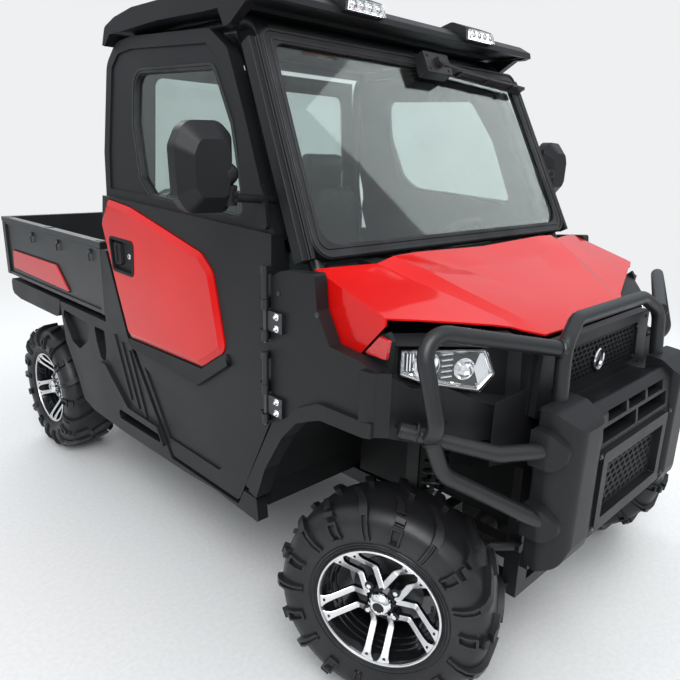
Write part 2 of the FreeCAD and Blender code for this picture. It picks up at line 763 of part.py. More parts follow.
def front_fenders():
    """Skin beside the hood, a raised band round the arch, and the wrap across the front to the bumper guard."""
    base = -float(BODY_HALF) - 15
    skin = slab(FENDER, "side", base, base + 43)
    band = slab(ARCH_BAND, "side", base - 12, base + 10)
    run = Vector(WRAP_END[0] - WRAP_START[0], WRAP_END[1] - WRAP_START[1], 0)
    wrap = slab(WRAP, "across", 0, 13)
    wrap.rotate(Vector(0, 0, 0), Vector(0, 0, 1), math.degrees(math.atan2(run.y, run.x)))
    wrap.translate(Vector(WRAP_START[0], WRAP_START[1], 0))
    corner = slab([(base - 12, 0), (base - 10, -34, 20), (-742, -70), (-728, -44), (-728, 0)], "flat", 850, 1018)
    drawn("front_fenders", both(joined([skin, band, corner, wrap])))


def rear_fenders():
    strip = slab([(1990, 828), (2657, 828, 6), (2657, 748, 20), (2545, 733, 60), (2037, 737, 60), (2010, 760, 0)],
                 "side", -float(BED_HALF) - 12, -float(BED_HALF) + 20)
    web = slab([(1990, 828), (2657, 828), (2657, 800), (1990, 800)], "side", -float(BED_HALF) + 20,
               -float(FRAME_HALF) - STRAP - SEAM)
    drawn("rear_fenders", both(joined([strip, web])))


HOOD_LUG = 410.0
HOOD_PIN = 4.0


def dashboard():
    half = float(CAB_INNER) - 12
    profile = [(332, 1000.5), (345, 1150, 10), (470, 1160, 40), (560, 1100, 40), (570, 980, 30), (480, 900, 20), (400, 880)]
    panel = slab(profile, "side", -half, half)
    column = rod((330, 520, 1070), (330, 591.1, 1141.1), 28)
    drawn("dashboard", joined([panel, column]))
    cowl = slab([(268, 1090), (268, 1205), (272, 1214), (300, 1214), (344, 1150.5), (331, 1000.5), (300, 1002)],
                "side", -630, 630)
    back, up = hood_pin()
    lugs = []
    for side in (-1, 1):
        x = side * HOOD_LUG
        lugs.append(block((x - 10, back - 8, up - 9), (x + 10, 270, up + 7)))
        lugs.append(rod((x - 28, back, up), (x + 28, back, up), HOOD_PIN))
    # black shelf between the hood's rear edge and the glass, open where the hood's brackets swing
    shelf = [(206, 1220), (246, 1227), (275, 1227), (275, 1200), (262, 1195), (206, 1204)]
    gap = HOOD_LUG + 30
    shelves = [slab(shelf, "side", -gap - 75, -gap), slab(shelf, "side", -gap + 60, gap - 60),
               slab(shelf, "side", gap, gap + 75)]
    drawn("cowl", joined([cowl] + lugs + shelves))


LENS_INNER = (-472, -186)
LENS_OUTER = (-700, -60)
LENS_THICK = 26
# across from the lens's inner corner, and up
LENS_CORNERS = ((0, 986), (-35, 942), (-168, 972), (-228, 1000), (-228, 1066), (-27, 1057))
# corners of the grilles: across, up, corner radius
LOWER_GRILLE = ((-200, 556, 6), (200, 556, 6), (200, 726, 6), (-200, 726, 6))
UPPER_GRILLE = ((-285, 892, 12), (285, 892, 12), (270, 1020, 12), (-270, 1020, 12))


# front surface of the panel outboard of the grille: across, then (back, up) of the edge under the hood, the brow,
# the recess behind the lens from top to foot, the lip below it and the panel's foot
WING_SECTIONS = (
    (362, ((-142, 1076), (-216, 1058), (-215, 1050), (-224, 905), (-228, 880), (-230, 852))),
    (390, ((-128, 1078), (-200, 1060), (-168, 1052), (-172, 905), (-206, 876), (-208, 852))),
    (505, ((-86, 1084), (-168, 1064), (-146, 1056), (-142, 936), (-160, 912), (-160, 858))),
    (711, ((-8, 1100), (-52, 1078), (-30, 1070), (-26, 1004), (-44, 985), (-40, 940))),
)
# outer end of the panel, under the hood's shoulder: back, up
CHEEK = ((-50, 1088), (-34, 1110), (60, 1008), (58, 985), (-40, 940), (-44, 1020))


def headlamp_lens(grow):
    """Right-hand lens, six-sided, in the plane of the panel's brow; grow widens it all round for its seat."""
    lean = math.atan2(LENS_OUTER[1] - LENS_INNER[1], LENS_INNER[0] - LENS_OUTER[0])
    corners = [(x / math.cos(lean), z, 6) for x, z in LENS_CORNERS]
    face = Part.Face(outline(corners, "across", 0).makeOffset2D(grow))
    lens = face.extrude(Vector(0, LENS_THICK, 0))
    lens.rotate(Vector(0, 0, 0), Vector(0, 0, 1), -math.degrees(lean))
    lens.translate(Vector(LENS_INNER[0], LENS_INNER[1], 0))
    return lens


def fascia():
    """Dark panel round the headlamps and the grille, with the opening for the grille."""
    frame_face = slab([(-361, 850, 10), (361, 850, 10), (352, 1052, 10), (-352, 1052, 10)], "across", -250, -218)
    hole = slab(UPPER_GRILLE, "across", -260, -200)
    sections = []
    for across, front in WING_SECTIONS:
        behind = [(front[-1][0] + 45, front[-1][1]), (front[0][0] + 30, front[0][1] - 20)]
        corners = [Vector(-across, back, up) for back, up in list(front) + behind]
        sections.append(Part.makePolygon(corners + corners[:1]))
    wing = Part.makeLoft(sections, True, True).cut(headlamp_lens(SEAM))
    tie = block((-372, -232, 862), (-340, -200, 1040))
    cheek = slab(CHEEK, "side", -726, -710)
    wing = joined([wing, tie, cheek])
    drawn("front_fascia", joined([frame_face.cut(hole), wing, mirrored(wing)]))


def honeycomb(corners, pitch, web, level, thick):
    """A plate with rows of six-sided holes, each row half a pitch along from the last."""
    plate = outline(corners, "across", level)
    inside = Part.Face(plate.makeOffset2D(-web))
    across = [corner[0] for corner in corners]
    up = [corner[1] for corner in corners]
    rise = pitch * 0.6
    half = (pitch - web) / 2
    tall = (rise - web) / 2
    holes = []
    row = 0
    z = min(up) + rise
    while z < max(up) - rise / 2:
        x = min(across) + pitch * (0.5 if row % 2 else 1.0)
        while x < max(across) - pitch / 2:
            ring = [(x - half, z), (x - half / 2, z - tall), (x + half / 2, z - tall), (x + half, z),
                    (x + half / 2, z + tall), (x - half / 2, z + tall)]
            if all(inside.isInside(Vector(u, level, v), 0.01, True) for u, v in ring):
                holes.append(outline(ring, "across", level))
            x += pitch
        z += rise
        row += 1
    face = Part.makeFace([plate] + holes, "Part::FaceMakerBullseye")
    return face.extrude(Vector(0, thick, 0))


def grilles():
    upper = [(x - math.copysign(SEAM, x), z + (SEAM if z < 900 else -SEAM), r) for x, z, r in UPPER_GRILLE]
    lower = [(x - math.copysign(SEAM, x), z + (SEAM if z < 600 else -SEAM), r) for x, z, r in LOWER_GRILLE]
    drawn("grilles", Part.makeCompound([
        honeycomb(upper, 26.0, 5.0, -242, 8),
        honeycomb(lower, 34.0, 7.0, -378, 8)]))


def lamps():
    """Headlamp lenses on the wing panels, and a red reflector outboard of each."""
    reflector = slab([(-51, 1094), (-43, 1043), (32, 1045), (-18, 1099)], "side", -738, -726.5)
    drawn("lamps", Part.makeCompound([both(headlamp_lens(0.0)), both(reflector)]))


def bumper():
    """Beam with the slotted shelf above and the skid below, between the two guards."""
    profile = [(-284, 872), (-350, 895, 15), (-378, 870, 15), (-386, 800, 10), (-392, 552), (-396, 507, 10),
               (-300, 480, 10), (-250.5, 500), (-250.5, 872)]
    beam = slab(profile, "side", -261.5, 261.5)
    raised = slab([(-232, 520, 14), (232, 520, 14), (232, 764, 14), (-232, 764, 14)], "across", -400, -380)
    mouth = slab(LOWER_GRILLE, "across", -420, -300)
    slots = [block((x, -420, 842), (x + 120, -300, 872)) for x in (-196, -60, 76)]
    gap = [block((-226, -420, 786), (-7, -290, 830)), block((7, -420, 786), (226, -290, 830))]
    drawn("bumper", joined([beam, raised]).cut(Part.makeCompound([mouth] + gap + slots)))


def guards():
    """Moulded corner pillars, rounded in plan and side view, with a boss round each tube's end."""
    plan = slab([(-430, -296, 8), (-430, -345, 60), (-392, -405, 60), (-262, -405, 26), (-262, -296)], "flat", 440, 940)
    side = slab([(-290, 920, 8), (-345, 915, 40), (-412, 870, 50), (-412, 560, 30), (-388, 480, 50), (-330, 455, 20),
                 (-290, 500)], "side", -440, -255)
    body = plan.common(side)
    bosses = [
        slab([(-297, 872, 6), (-350, 872, 34), (-388, 830, 40), (-380, 772, 30), (-297, 772, 6)], "side", -462, -400),
        slab([(-297, 664, 6), (-350, 660, 34), (-388, 612, 40), (-380, 568, 30), (-297, 568, 6)], "side", -462, -400),
    ]
    bosses = [boss.common(slab([(-462, -290, 6), (-462, -352, 22), (-410, -400, 10), (-395, -290)], "flat", 500, 940))
              for boss in bosses]
    drawn("bumper_guards", both(joined([body] + bosses).cut(bar_shape())))


def bar_shape():
    """Hoop over the grille, and on each side a wing, a side tube with a stub end and a lower brace, all welded."""
    radius = float(size("bar_tube")) / 2
    hoop = tube_path([(-330, -300, 906), (-322, -290, 1058), (-225, -268, 1112), (225, -268, 1112),
                      (322, -290, 1058), (330, -300, 906)], radius, 70)
    wing = tube_path([(-326, -291, 1052), (-716, -124, 1134), (-716, -196, 905), (-698, -163, 870)], radius, 60)
    side = tube_path([(-742, -104, 884), (-560, -268, 822), (-430, -338, 816)], radius, 80)
    lower = tube_path([(-694, -160, 872), (-668, -186, 770), (-440, -342, 618), (-425, -346, 616)], radius, 70)
    half = joined([wing, side, lower])
    return joined([hoop, half, mirrored(half)])


def bull_bar():
    drawn("bull_bar", bar_shape())


def cab_frame():
    """Two side hoops from the front bulkhead over the roof to the rails, and the bars between."""
    radius = float(CAB_TUBE) / 2
    side = tube_path(CAB_PATH, radius, 90)
    bars = []
    for back, up, half in ((700, 1891.5, 600), (1370, 1891.5, 600), (1466, 800, 675)):
        bars.append(rod((-half, back, up), (half, back, up), radius))
    drawn("cab_frame", joined([side, mirrored(side)] + bars))


def pillar_covers():
    """Folded covers beside the windshield, from the cowl to the roof, drawn in the glass's own plane."""
    foot = 6
    top = float(size("windshield_height")) - 30

    def edge(along, outward):
        """A point beside the seal's edge, at a height up the slope."""
        return (-700 - SEAM + 40 * along / float(size("windshield_height")) - outward, along)

    face = slab([edge(foot, 40), edge(foot, 0), edge(top, 0), edge(top, 36)], "across", -6, 2)
    inner = slab([edge(foot, 14), edge(foot, 0), edge(top, 0), edge(top, 14)], "across", -16, 30)
    outer = slab([edge(foot, 40), edge(foot, 34), edge(top, 30), edge(top, 36)], "across", -2, 34)
    drawn("pillar_covers", both(stood(joined([face, inner, outer]))))


GLASS_LEAN = 26.2


def windshield_outline(inset):
    """Corners in the glass's own plane: across, up the slope."""
    top = float(size("windshield_height")) - inset
    return [(-700 + inset, inset, 60), (700 - inset, inset, 60), (660 - inset, top, 40), (-660 + inset, top, 40)]


def stood(shape):
    """Leans a panel drawn upright at the windshield's foot back to the glass's slope."""
    shape.rotate(Vector(0, 0, 0), Vector(-1, 0, 0), GLASS_LEAN)
    shape.translate(Vector(0, 266, 1236))
    return shape


def windshield():
    glass = slab(windshield_outline(22), "across", -3, 3)
    outer = slab(windshield_outline(0), "across", -14, 14)
    inner = slab(windshield_outline(42), "across", -20, 20)
    seat = slab(windshield_outline(21.5), "across", -3.5, 3.5)
    drawn("windshield", stood(glass))
    drawn("windshield_seal", stood(outer.cut(inner).cut(seat)))


def wiper():
    """Motor over the top of the glass, its arm and the blade, folded to the vehicle's left."""
    motor = joined([block((10, -58, 604), (150, -14.3, 680)), rod((80, -72, 642), (80, -50, 642), 20)])
    arm = rod((80, -64, 642), (400, -35, 630), 7)
    blade = slab([(150, 648), (150, 636), (660, 602), (660, 614)], "across", -48, -22)
    drawn("wiper", stood(motor.multiFuse([arm, blade])))


def rear_window():
    """Rear wall of the cab above the bed: a frame with its window cut, and the glass."""
    low = REAR_PANEL_LOW
    front = TUB_REAR - 15
    outer = slab([(-628, low), (628, low), (578, 1860), (-578, 1860)], "across", front, TUB_REAR)
    window = slab([(-540, 1220, 40), (540, 1220, 40), (505, 1790, 40), (-505, 1790, 40)], "across", front - 10, TUB_REAR + 10)
    drawn("rear_panel", outer.cut(window))
    glass = slab([(-539.5, 1220.5, 40), (539.5, 1220.5, 40), (504.5, 1789.5, 40), (-504.5, 1789.5, 40)],
                 "across", front + 5, front + 10)
    drawn("rear_window", glass)


def roof():
    """Moulded roof with a visor over the windshield and a lip down to each pillar."""
    profile = [(500, 1921), (505, 1941, 6), (556, 1969, 10), (700, 1978, 40), (1220, 1983, 60), (1353, 1968, 40),
               (1436, 1945, 30), (1464, 1885), (1445, 1880), (1400, 1915), (1048, 1922), (766, 1914), (667, 1914)]
    shell = slab(profile, "side", -700, 700)
    brim = slab([(500, 1921), (524, 1914), (560, 1914), (640, 1866), (668, 1862), (700, 1916), (640, 1930)],
                "side", -700, -668)
    # underside of the visor, hollow between its edges
    hollow = block((-655, 520, 1895), (655, 640, 1928))
    valleys = [slab([(x, 640), (x + 30, 690), (x + 30, 1350), (x, 1400), (x - 30, 1350), (x - 30, 690)], "flat", 1975, 2000)
               for x in (-300, 0, 300)]
    shell = joined([shell, brim, mirrored(brim)]).cut(Part.makeCompound([hollow] + valleys))
    drawn("roof", shell)
    pod = slab([(486, 1930), (494, 1974, 12), (560, 1998, 40), (670, 1974), (670, 1960), (520, 1928)], "side", -396, -216)
    taper = slab([(-392, 480), (-220, 480), (-236, 680), (-376, 680)], "flat", 1900, 2020)
    drawn("roof_lamps", both(pod.common(taper).cut(shell)))


# Doors

DOOR_LOWER = (
    # back, up, corner radius
    (380, 1304), (382, 755, 10), (559, 402, 30), (983, 403, 30), (1279, 808, 40), (1356, 981, 40),
    (1457, 1238, 30), (1436, 1343),
)
DOOR_UPPER = (
    (380, 1290), (380, 1304), (462, 1433), (565, 1626), (676, 1815, 60), (781, 1879, 60), (1287, 1907, 40),
    (1406, 1897, 80), (1474, 1828, 60), (1468, 1505), (1436, 1343), (1436, 1290),
)
DOOR_UPPER_FACE = (
    (480, 1310), (565, 1626), (676, 1815, 60), (781, 1879, 60), (1287, 1907, 40), (1406, 1897, 80), (1474, 1828, 60),
    (1468, 1505), (1440, 1330),
)
DOOR_WINDOW = (
    (525, 1329, 30), (632, 1604), (750, 1773, 50), (1260, 1790, 50), (1253, 1614), (1177, 1420, 60), (1091, 1361, 40),
)
DOOR_INSERT = (
    (1382, 1335, 30), (1457, 1238, 30), (1356, 981, 60), (1279, 808, 40), (753, 821, 30), (608, 910, 40),
    (670, 1158, 60), (735, 1211, 40), (1207, 1318, 60),
)


def shrunk(points, amount):
    """The same outline moved in by an amount all round, by its wire's own offset."""
    wire = outline(points, "side", 0)
    return wire.makeOffset2D(-amount)


def moved(wire, across):
    """A wire from the middle plane, moved across to a level."""
    wire = wire.copy()
    wire.translate(Vector(across, 0, 0))
    return wire


def slab_of(wire, low, high):
    """A wire of the middle plane given thickness from one level to another."""
    return Part.Face(moved(wire, low)).extrude(Vector(high - low, 0, 0))


HINGE_HEIGHTS = (816.0, 1068.0)
HINGE_SIDE = -float(size("door_hinge_side"))
HINGE_BACK = float(size("door_hinge_back"))


def door_hinges():
    """Fixed leaves on the fenders, each with the pin that the door's barrels turn on."""
    leaves = []
    for middle in HINGE_HEIGHTS:
        leaf = block((HINGE_SIDE + 2, 302, middle - 29), (-float(BODY_HALF) - 15 - SEAM, HINGE_BACK, middle + 29))
        leaves.append(joined([leaf, Part.makeCylinder(6, 120, Vector(HINGE_SIDE, HINGE_BACK, middle - 60))]))
    drawn("door_hinges", both(Part.makeCompound(leaves)))


MIRROR = ((-995, 1530, 40), (-990, 1402, 30), (-962, 1362, 40), (-838, 1360, 30), (-822, 1450), (-822, 1560, 30),
          (-860, 1596, 50), (-965, 1592, 50))


def mirror_parts():
    """Housing that looks back past the door, on a ball joint, with its arm and the bracket on the door's edge."""
    back = 462
    rim_part = slab(MIRROR, "across", back, back + 34)
    front = Part.Face(outline(MIRROR, "across", back))
    small = [(x * 0.62 - 345, z * 0.62 + 560, r * 0.5 if r else 0) for x, z, r in
             [(point + (0,))[:3] for point in MIRROR]]
    shell = Part.makeLoft([outline(MIRROR, "across", back), outline(small, "across", back - 42)], True, True)
    glass_seat = slab([(x * 0.9 - 90.8, z * 0.9 + 147.8, r) for x, z, r in
                       [(point + (0,))[:3] for point in MIRROR]], "across", back + 30, back + 40)
    ball = Part.makeSphere(30, Vector(-850, 446, 1462))
    arm = tube_path([(-846, 446, 1462), (-842, 446, 1402), (-700, 440, 1390)], 12, 30)
    post_part = rod((-842, 446, 1380), (-842, 446, 1425), 18)
    bracket = leaned(slab([(398, 1315, 10), (430, 1315, 10), (480, 1420, 12), (452, 1440, 12), (420, 1400)],
                          "side", -float(BODY_HALF) - 14, -float(BODY_HALF) - SEAM))
    return [rim_part.cut(glass_seat), shell, ball, arm, post_part, bracket]


# back, up, corner radius: latch's recess in the insert, pressed relief in the lower door, raised strip between
LATCH = ((1369, 1190, 14), (1183, 1187, 14), (1195, 1066, 14), (1351, 1070, 14))
RELIEF = ((1180, 710), (1093, 681, 30), (600, 622, 30), (664, 468, 30), (1010, 470, 20))
STRIP = ((1284, 802), (1262, 770, 20), (776, 748, 30), (582, 878, 16), (606, 903), (753, 816))


def doors():
    """One panel from sill to roof with its window cut, the red insert and its latch, the glass and the mirror."""
    skin = -float(BODY_HALF)
    inner = skin + float(DOOR_WALL)
    lower = slab(DOOR_LOWER, "side", skin, inner)
    upper = leaned(slab(DOOR_UPPER, "side", skin, inner))
    border = leaned(slab_of(shrunk(DOOR_UPPER_FACE, 42), skin - 6, skin + 6))
    window = leaned(slab(DOOR_WINDOW, "side", skin - 30, inner + 30))
    seat = slab(DOOR_INSERT, "side", skin - 20, skin + 6)
    strip = slab(STRIP, "side", skin - 7, skin + 2)
    relief = slab(RELIEF, "side", skin - 10, skin + 7)
    barrels = []
    for middle in HINGE_HEIGHTS:
        for low in (middle - 60, middle + 31):
            barrels.append(Part.makeCylinder(10, 29, Vector(HINGE_SIDE, HINGE_BACK, low)))
            barrels.append(block((HINGE_SIDE, HINGE_BACK + 3, low), (skin + 1, HINGE_BACK + 30, low + 29)))
    bore = Part.makeCylinder(6 + PIN_FIT, 900, Vector(HINGE_SIDE, HINGE_BACK, 600))
    panel = joined([lower, upper, strip] + barrels).cut(Part.makeCompound([window, seat, relief, bore, border]))
    glass = leaned(slab_of(shrunk(DOOR_WINDOW, 1), skin + 20, skin + 25))
    plate = slab_of(shrunk(DOOR_INSERT, 3), skin - 4, skin + 5.7)
    crown = Part.makeLoft([moved(shrunk(DOOR_INSERT, 3), skin - 4), moved(shrunk(DOOR_INSERT, 24), skin - 14)], True, True)
    insert = plate.fuse(crown).cut(slab(LATCH, "side", skin - 30, skin - 1))
    mirror = joined(mirror_parts()).cut(panel)
    for side, turn in (("right", lambda shape: shape), ("left", mirrored)):
        drawn("door_" + side, turn(panel))
        drawn("door_insert_" + side, turn(insert))
        drawn("door_glass_" + side, turn(glass))
        drawn("mirror_" + side, turn(mirror))


# hood's cross sections: back, height in the middle, then (across, up) of the edge of the middle panel,
# the ridge's crease, the gutter beside it and the shoulder over the fender
HOOD_SECTIONS = (
    (-212, 1060, ((36, 1060), (246, 1058), (300, 1052), (722, 1068))),
    (-128, 1103, ((46, 1103), (289, 1102), (340, 1096), (722, 1106))),
    (0, 1152, ((142, 1152), (357, 1160), (411, 1149), (722, 1151))),
    (107, 1195, ((230, 1196), (414, 1212), (470, 1187), (722, 1185))),
    (193, 1236, ((351, 1247), (459, 1244), (518, 1225), (722, 1212))),
    (246, 1256, ((385, 1268), (487, 1262), (547, 1245), (722, 1229))),
)
# plan of the right half's edge: across, back
HOOD_EDGE = ((0, 193), (-459, 191), (-520, 197), (-723, 235), (-723, -22), (-640, -49), (-346, -149),
             (-262, -204), (0, -211))
# what is cut away under the shoulder, from the side: back, up
HOOD_FOOT = ((-300, 900), (-300, 1040), (-212, 1040), (-26, 1126), (70, 1019), (166, 1024), (206, 1056), (247, 1180),
             (260, 1180), (260, 900))


def hood_pin():
    """Where the hood's hinge pin runs: back, up."""
    return float(size("hood_hinge_back")), HOOD_SECTIONS[-1][1] - float(size("hood_hinge_drop"))


def hood():
    """Creased lid: a middle panel between two ridges, and shoulders that fold down over the fenders."""
    skin = float(size("hood_wall"))

    def section(row, inset, foot):
        back, middle, ribs = row
        half = [(x, z - inset) for x, z in ribs]
        half[-1] = (half[-1][0] - inset, half[-1][1])
        half.append((half[-1][0], foot))
        corners = [(-x, z) for x, z in reversed(half)] + [(0, middle - inset)] + half
        return Part.makePolygon([Vector(x, back, z) for x, z in corners + corners[:1]])

    shell = Part.makeLoft([section(row, 0, 1000) for row in HOOD_SECTIONS], True, True).cut(
        Part.makeLoft([section(row, skin, 990) for row in HOOD_SECTIONS], True, True))
    plan = list(HOOD_EDGE) + [(-x, back) for x, back in reversed(HOOD_EDGE[1:-1])]
    shell = shell.common(slab(plan, "flat", 980, 1300))
    for start in (-730, 600):
        shell = shell.cut(slab(HOOD_FOOT, "side", start, start + 130))
    back, up = hood_pin()
    bracket = [(back - 76, up + 30), (back - 60, up + 37), (back - 38, up + 17), (back + 6, up + 8),
               (back + 8, up - 8), (back - 8, up - 8), (back - 60, up + 10)]
    brackets = []
    for x in (-HOOD_LUG - 24, -HOOD_LUG + 16, HOOD_LUG - 24, HOOD_LUG + 16):
        brackets.append(slab(bracket, "side", x, x + 8))
    pin_hole = rod((-600, back, up), (600, back, up), HOOD_PIN + PIN_FIT)
    drawn("hood", joined([shell] + brackets).cut(pin_hole))


# one seat from the side, over its underside: back, up, corner radius
CUSHION = ((990, 0, 12), (982, 86, 40), (1040, 118, 60), (1290, 96, 30), (1400, 92, 10), (1400, 0, 10))
SEAT_REAR = TUB_REAR - 15 - SEAM
SEAT_BACK = ((1304, 96.5, 12), (1296, 240, 40), (1330, 640, 40), (1360, 668, 24), (SEAT_REAR, 668, 20),
             (SEAT_REAR, 96.5, 12))
HEADREST = ((1342, 668 + SEAM, 20), (1336, 780, 40), (1356, 826, 24), (1410, 826, 30), (1416, 668 + SEAM, 20))


def seats():
    """Two seats: cushion, back and headrest each, rounded from the side and from the front."""
    base = float(size("seat_base_height"))
    side = float(size("seat_side"))
    half = float(size("seat_width")) / 2
    parts = []
    for profile, wide, narrow, corner in ((CUSHION, half, half, 60), (SEAT_BACK, half, half - 50, 90),
                                          (HEADREST, 130, 110, 0)):
        low = base + min(point[1] for point in profile)
        high = base + max(point[1] for point in profile)
        solid = slab([(back, base + up, radius) for back, up, radius in profile], "side", -side - half, -side + half)
        if profile is CUSHION:
            form = slab([(-side - wide, 970, corner), (-side + wide, 970, corner), (-side + wide, 1410),
                         (-side - wide, 1410)], "flat", low - 1, high + 1)
        else:
            form = slab([(-side - wide, low - 1), (-side + wide, low - 1), (-side + narrow, high, corner),
                         (-side - narrow, high, corner)], "across", 1250, 1450)
        parts.append(both(solid.common(form)))
    drawn("seats", Part.makeCompound(parts))


def steering_wheel():
    ring = Part.makeTorus(180, 14)
    hub = Part.makeCylinder(45, 24, Vector(0, 0, -12))
    spokes = [block((-172, -14, -6), (172, 14, 6)), block((-14, -172, -6), (14, 0, 6))]
    wheel = joined([ring, hub] + spokes)
    wheel.rotate(Vector(0, 0, 0), Vector(1, 0, 0), -45)
    wheel.translate(Vector(330, 600, 1150))
    drawn("steering_wheel", wheel)


# Cargo bed

TAIL_LUG = 600.0
TAIL_PIN = 6.0
TAIL_BACK = float(BED_REAR) + BED_CLEARANCE + float(TAILGATE_WALL) / 2
TAIL_UP = float(BED_FLOOR) + 19


def bed():
    low = BED_FLOOR
    wall = BED_WALL
    shell = box("bed_outer", (-BED_HALF, BED_FRONT, low), (BED_HALF, BED_REAR, BED_RAIL))
    hollow = box("bed_hollow", (-BED_HALF + wall, BED_FRONT + wall, low + 22), (BED_HALF - wall, BED_REAR + 10, BED_RAIL + 10))
    parts = [cut("bed_tray", shell, hollow)]
    parts += pair("bed_rail_lip", (BED_HALF - wall, BED_FRONT, BED_RAIL - 25), (BED_HALF + 12, BED_REAR, BED_RAIL))
    pivot_back = size("bed_pivot_back")
    pivot_height = BED_FLOOR - size("bed_pivot_drop")
    lug = HINGE_X - 26
    parts += pair("bed_hinge", (lug, pivot_back - 25, pivot_height - 18), (lug + 20, pivot_back + 30, low + 4))
    for side, start in (("left", lug + 1), ("right", -HINGE_X - HINGE_WALL)):
        parts.append(post("bed_pin_" + side, HINGE_PIN, HINGE_WALL + 25, (start, pivot_back, pivot_height), (1, 0, 0)))
    tail_back = BED_REAR + BED_CLEARANCE + TAILGATE_WALL / 2
    tail_up = low + 19
    parts += pair("tail_lug", (TAIL_LUG, BED_REAR - 4, tail_up - 12), (TAIL_LUG + 12, tail_back + 12, tail_up + 12))
    for side, start in (("left", TAIL_LUG - 18), ("right", -TAIL_LUG - 30)):
        parts.append(post("tail_pin_" + side, TAIL_PIN, 48.0, (start, tail_back, tail_up), (1, 0, 0)))
    keep(fuse("bed", parts), "bed")


def tailgate():
    """Panel with a rounded foot, slotted over the bed's two hinge lugs."""
    start = float(BED_REAR) + BED_CLEARANCE
    end = start + float(TAILGATE_WALL)
    low = float(BED_FLOOR) + 4
    profile = [(start, low, 14), (end, low, 14), (end, BED_RAIL - 3, 4), (start, BED_RAIL - 3, 4)]
    half = float(BED_HALF) - 4
    panel = slab(profile, "side", -half, half)
    for side in (-1, 1):
        x = side * (TAIL_LUG + 6)
        panel = panel.cut(block((x - 12, start - 5, low - 5), (x + 12, end + 5, TAIL_UP + 23)))
        panel = panel.cut(rod((x - 30, TAIL_BACK, TAIL_UP), (x + 30, TAIL_BACK, TAIL_UP), TAIL_PIN + PIN_FIT))
    drawn("tailgate", panel)


wheels()
knuckles()
frame()
running_gear()
suspension()
cab_tub()
side_panels()
front_fenders()
rear_fenders()
dashboard()
fascia()
grilles()
lamps()
bumper()
guards()
bull_bar()
cab_frame()
pillar_covers()
windshield()
wiper()
rear_window()
roof()
doors()
door_hinges()
hood()
seats()
steering_wheel()
bed()
tailgate()

doc.recompute()

for obj in doc.Objects:
    if "Invalid" in obj.State or "Error" in obj.State:
        raise RuntimeError("%s failed: %s" % (obj.Label, obj.State))
os.makedirs("parts", exist_ok=True)
for obj in nodes:
    if obj.Shape.isNull() or not obj.Shape.isValid():
        raise RuntimeError("%s has no valid shape" % obj.Label)
for obj in nodes:
    obj.Shape.exportStep("parts/%s.step" % obj.Label)
    print("%-22s %2d solids %8.1f litres" % (obj.Label, len(obj.Shape.Solids), obj.Shape.Volume / 1e6))
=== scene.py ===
"""Side by side utility vehicle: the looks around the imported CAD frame. Metres, +Z up, front towards -Y.

Forms are drawn in millimetres as (across, behind the front axle, up), the way the CAD source draws them,
and Piece turns them into metres of the row frame.
"""
import json
import math

import bmesh
import bpy
from mathutils import Matrix, Vector


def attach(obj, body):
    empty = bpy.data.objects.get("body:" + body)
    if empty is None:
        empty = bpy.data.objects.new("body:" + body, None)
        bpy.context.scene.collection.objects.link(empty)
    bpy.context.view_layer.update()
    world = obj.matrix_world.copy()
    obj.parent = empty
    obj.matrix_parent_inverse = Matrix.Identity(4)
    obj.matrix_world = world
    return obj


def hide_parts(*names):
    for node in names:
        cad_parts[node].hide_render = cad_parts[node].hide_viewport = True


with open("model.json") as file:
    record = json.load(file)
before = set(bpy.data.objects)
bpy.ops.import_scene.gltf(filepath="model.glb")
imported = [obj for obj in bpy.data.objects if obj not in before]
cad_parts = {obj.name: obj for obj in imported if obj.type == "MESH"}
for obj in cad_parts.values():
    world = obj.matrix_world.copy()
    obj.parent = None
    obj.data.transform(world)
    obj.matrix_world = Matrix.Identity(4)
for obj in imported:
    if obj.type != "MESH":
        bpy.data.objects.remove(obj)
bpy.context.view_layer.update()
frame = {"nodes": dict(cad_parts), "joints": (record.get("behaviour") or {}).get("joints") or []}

MM = 0.001
TURN = 2 * math.pi
# the front axle's line in the row frame, in metres
AXLE = -1.1725
PARKED = Matrix.Translation((0, AXLE, 0)) @ Matrix.Scale(MM, 4)
# both axles, measured behind the front one
AXLES = (0.0, 2220.0)
BODY_HALF = 755.0
TYRE_RADIUS = 325.0
# how far the front wheels are turned in the photograph
STEER = math.radians(23.4)
RIGHT, LEFT = -1, 1
SIDE_NAMES = {RIGHT: "right", LEFT: "left"}
# the windshield's foot, behind the axle and up, its lean, and its height up the slope
GLASS_FOOT = (266.0, 1236.0)
GLASS_LEAN = math.radians(26.2)
GLASS_HEIGHT = 688.0


def linked(name, data):
    """A new object in the scene."""
    item = bpy.data.objects.new(name, data)
    bpy.context.scene.collection.objects.link(item)
    return item


# Node helpers

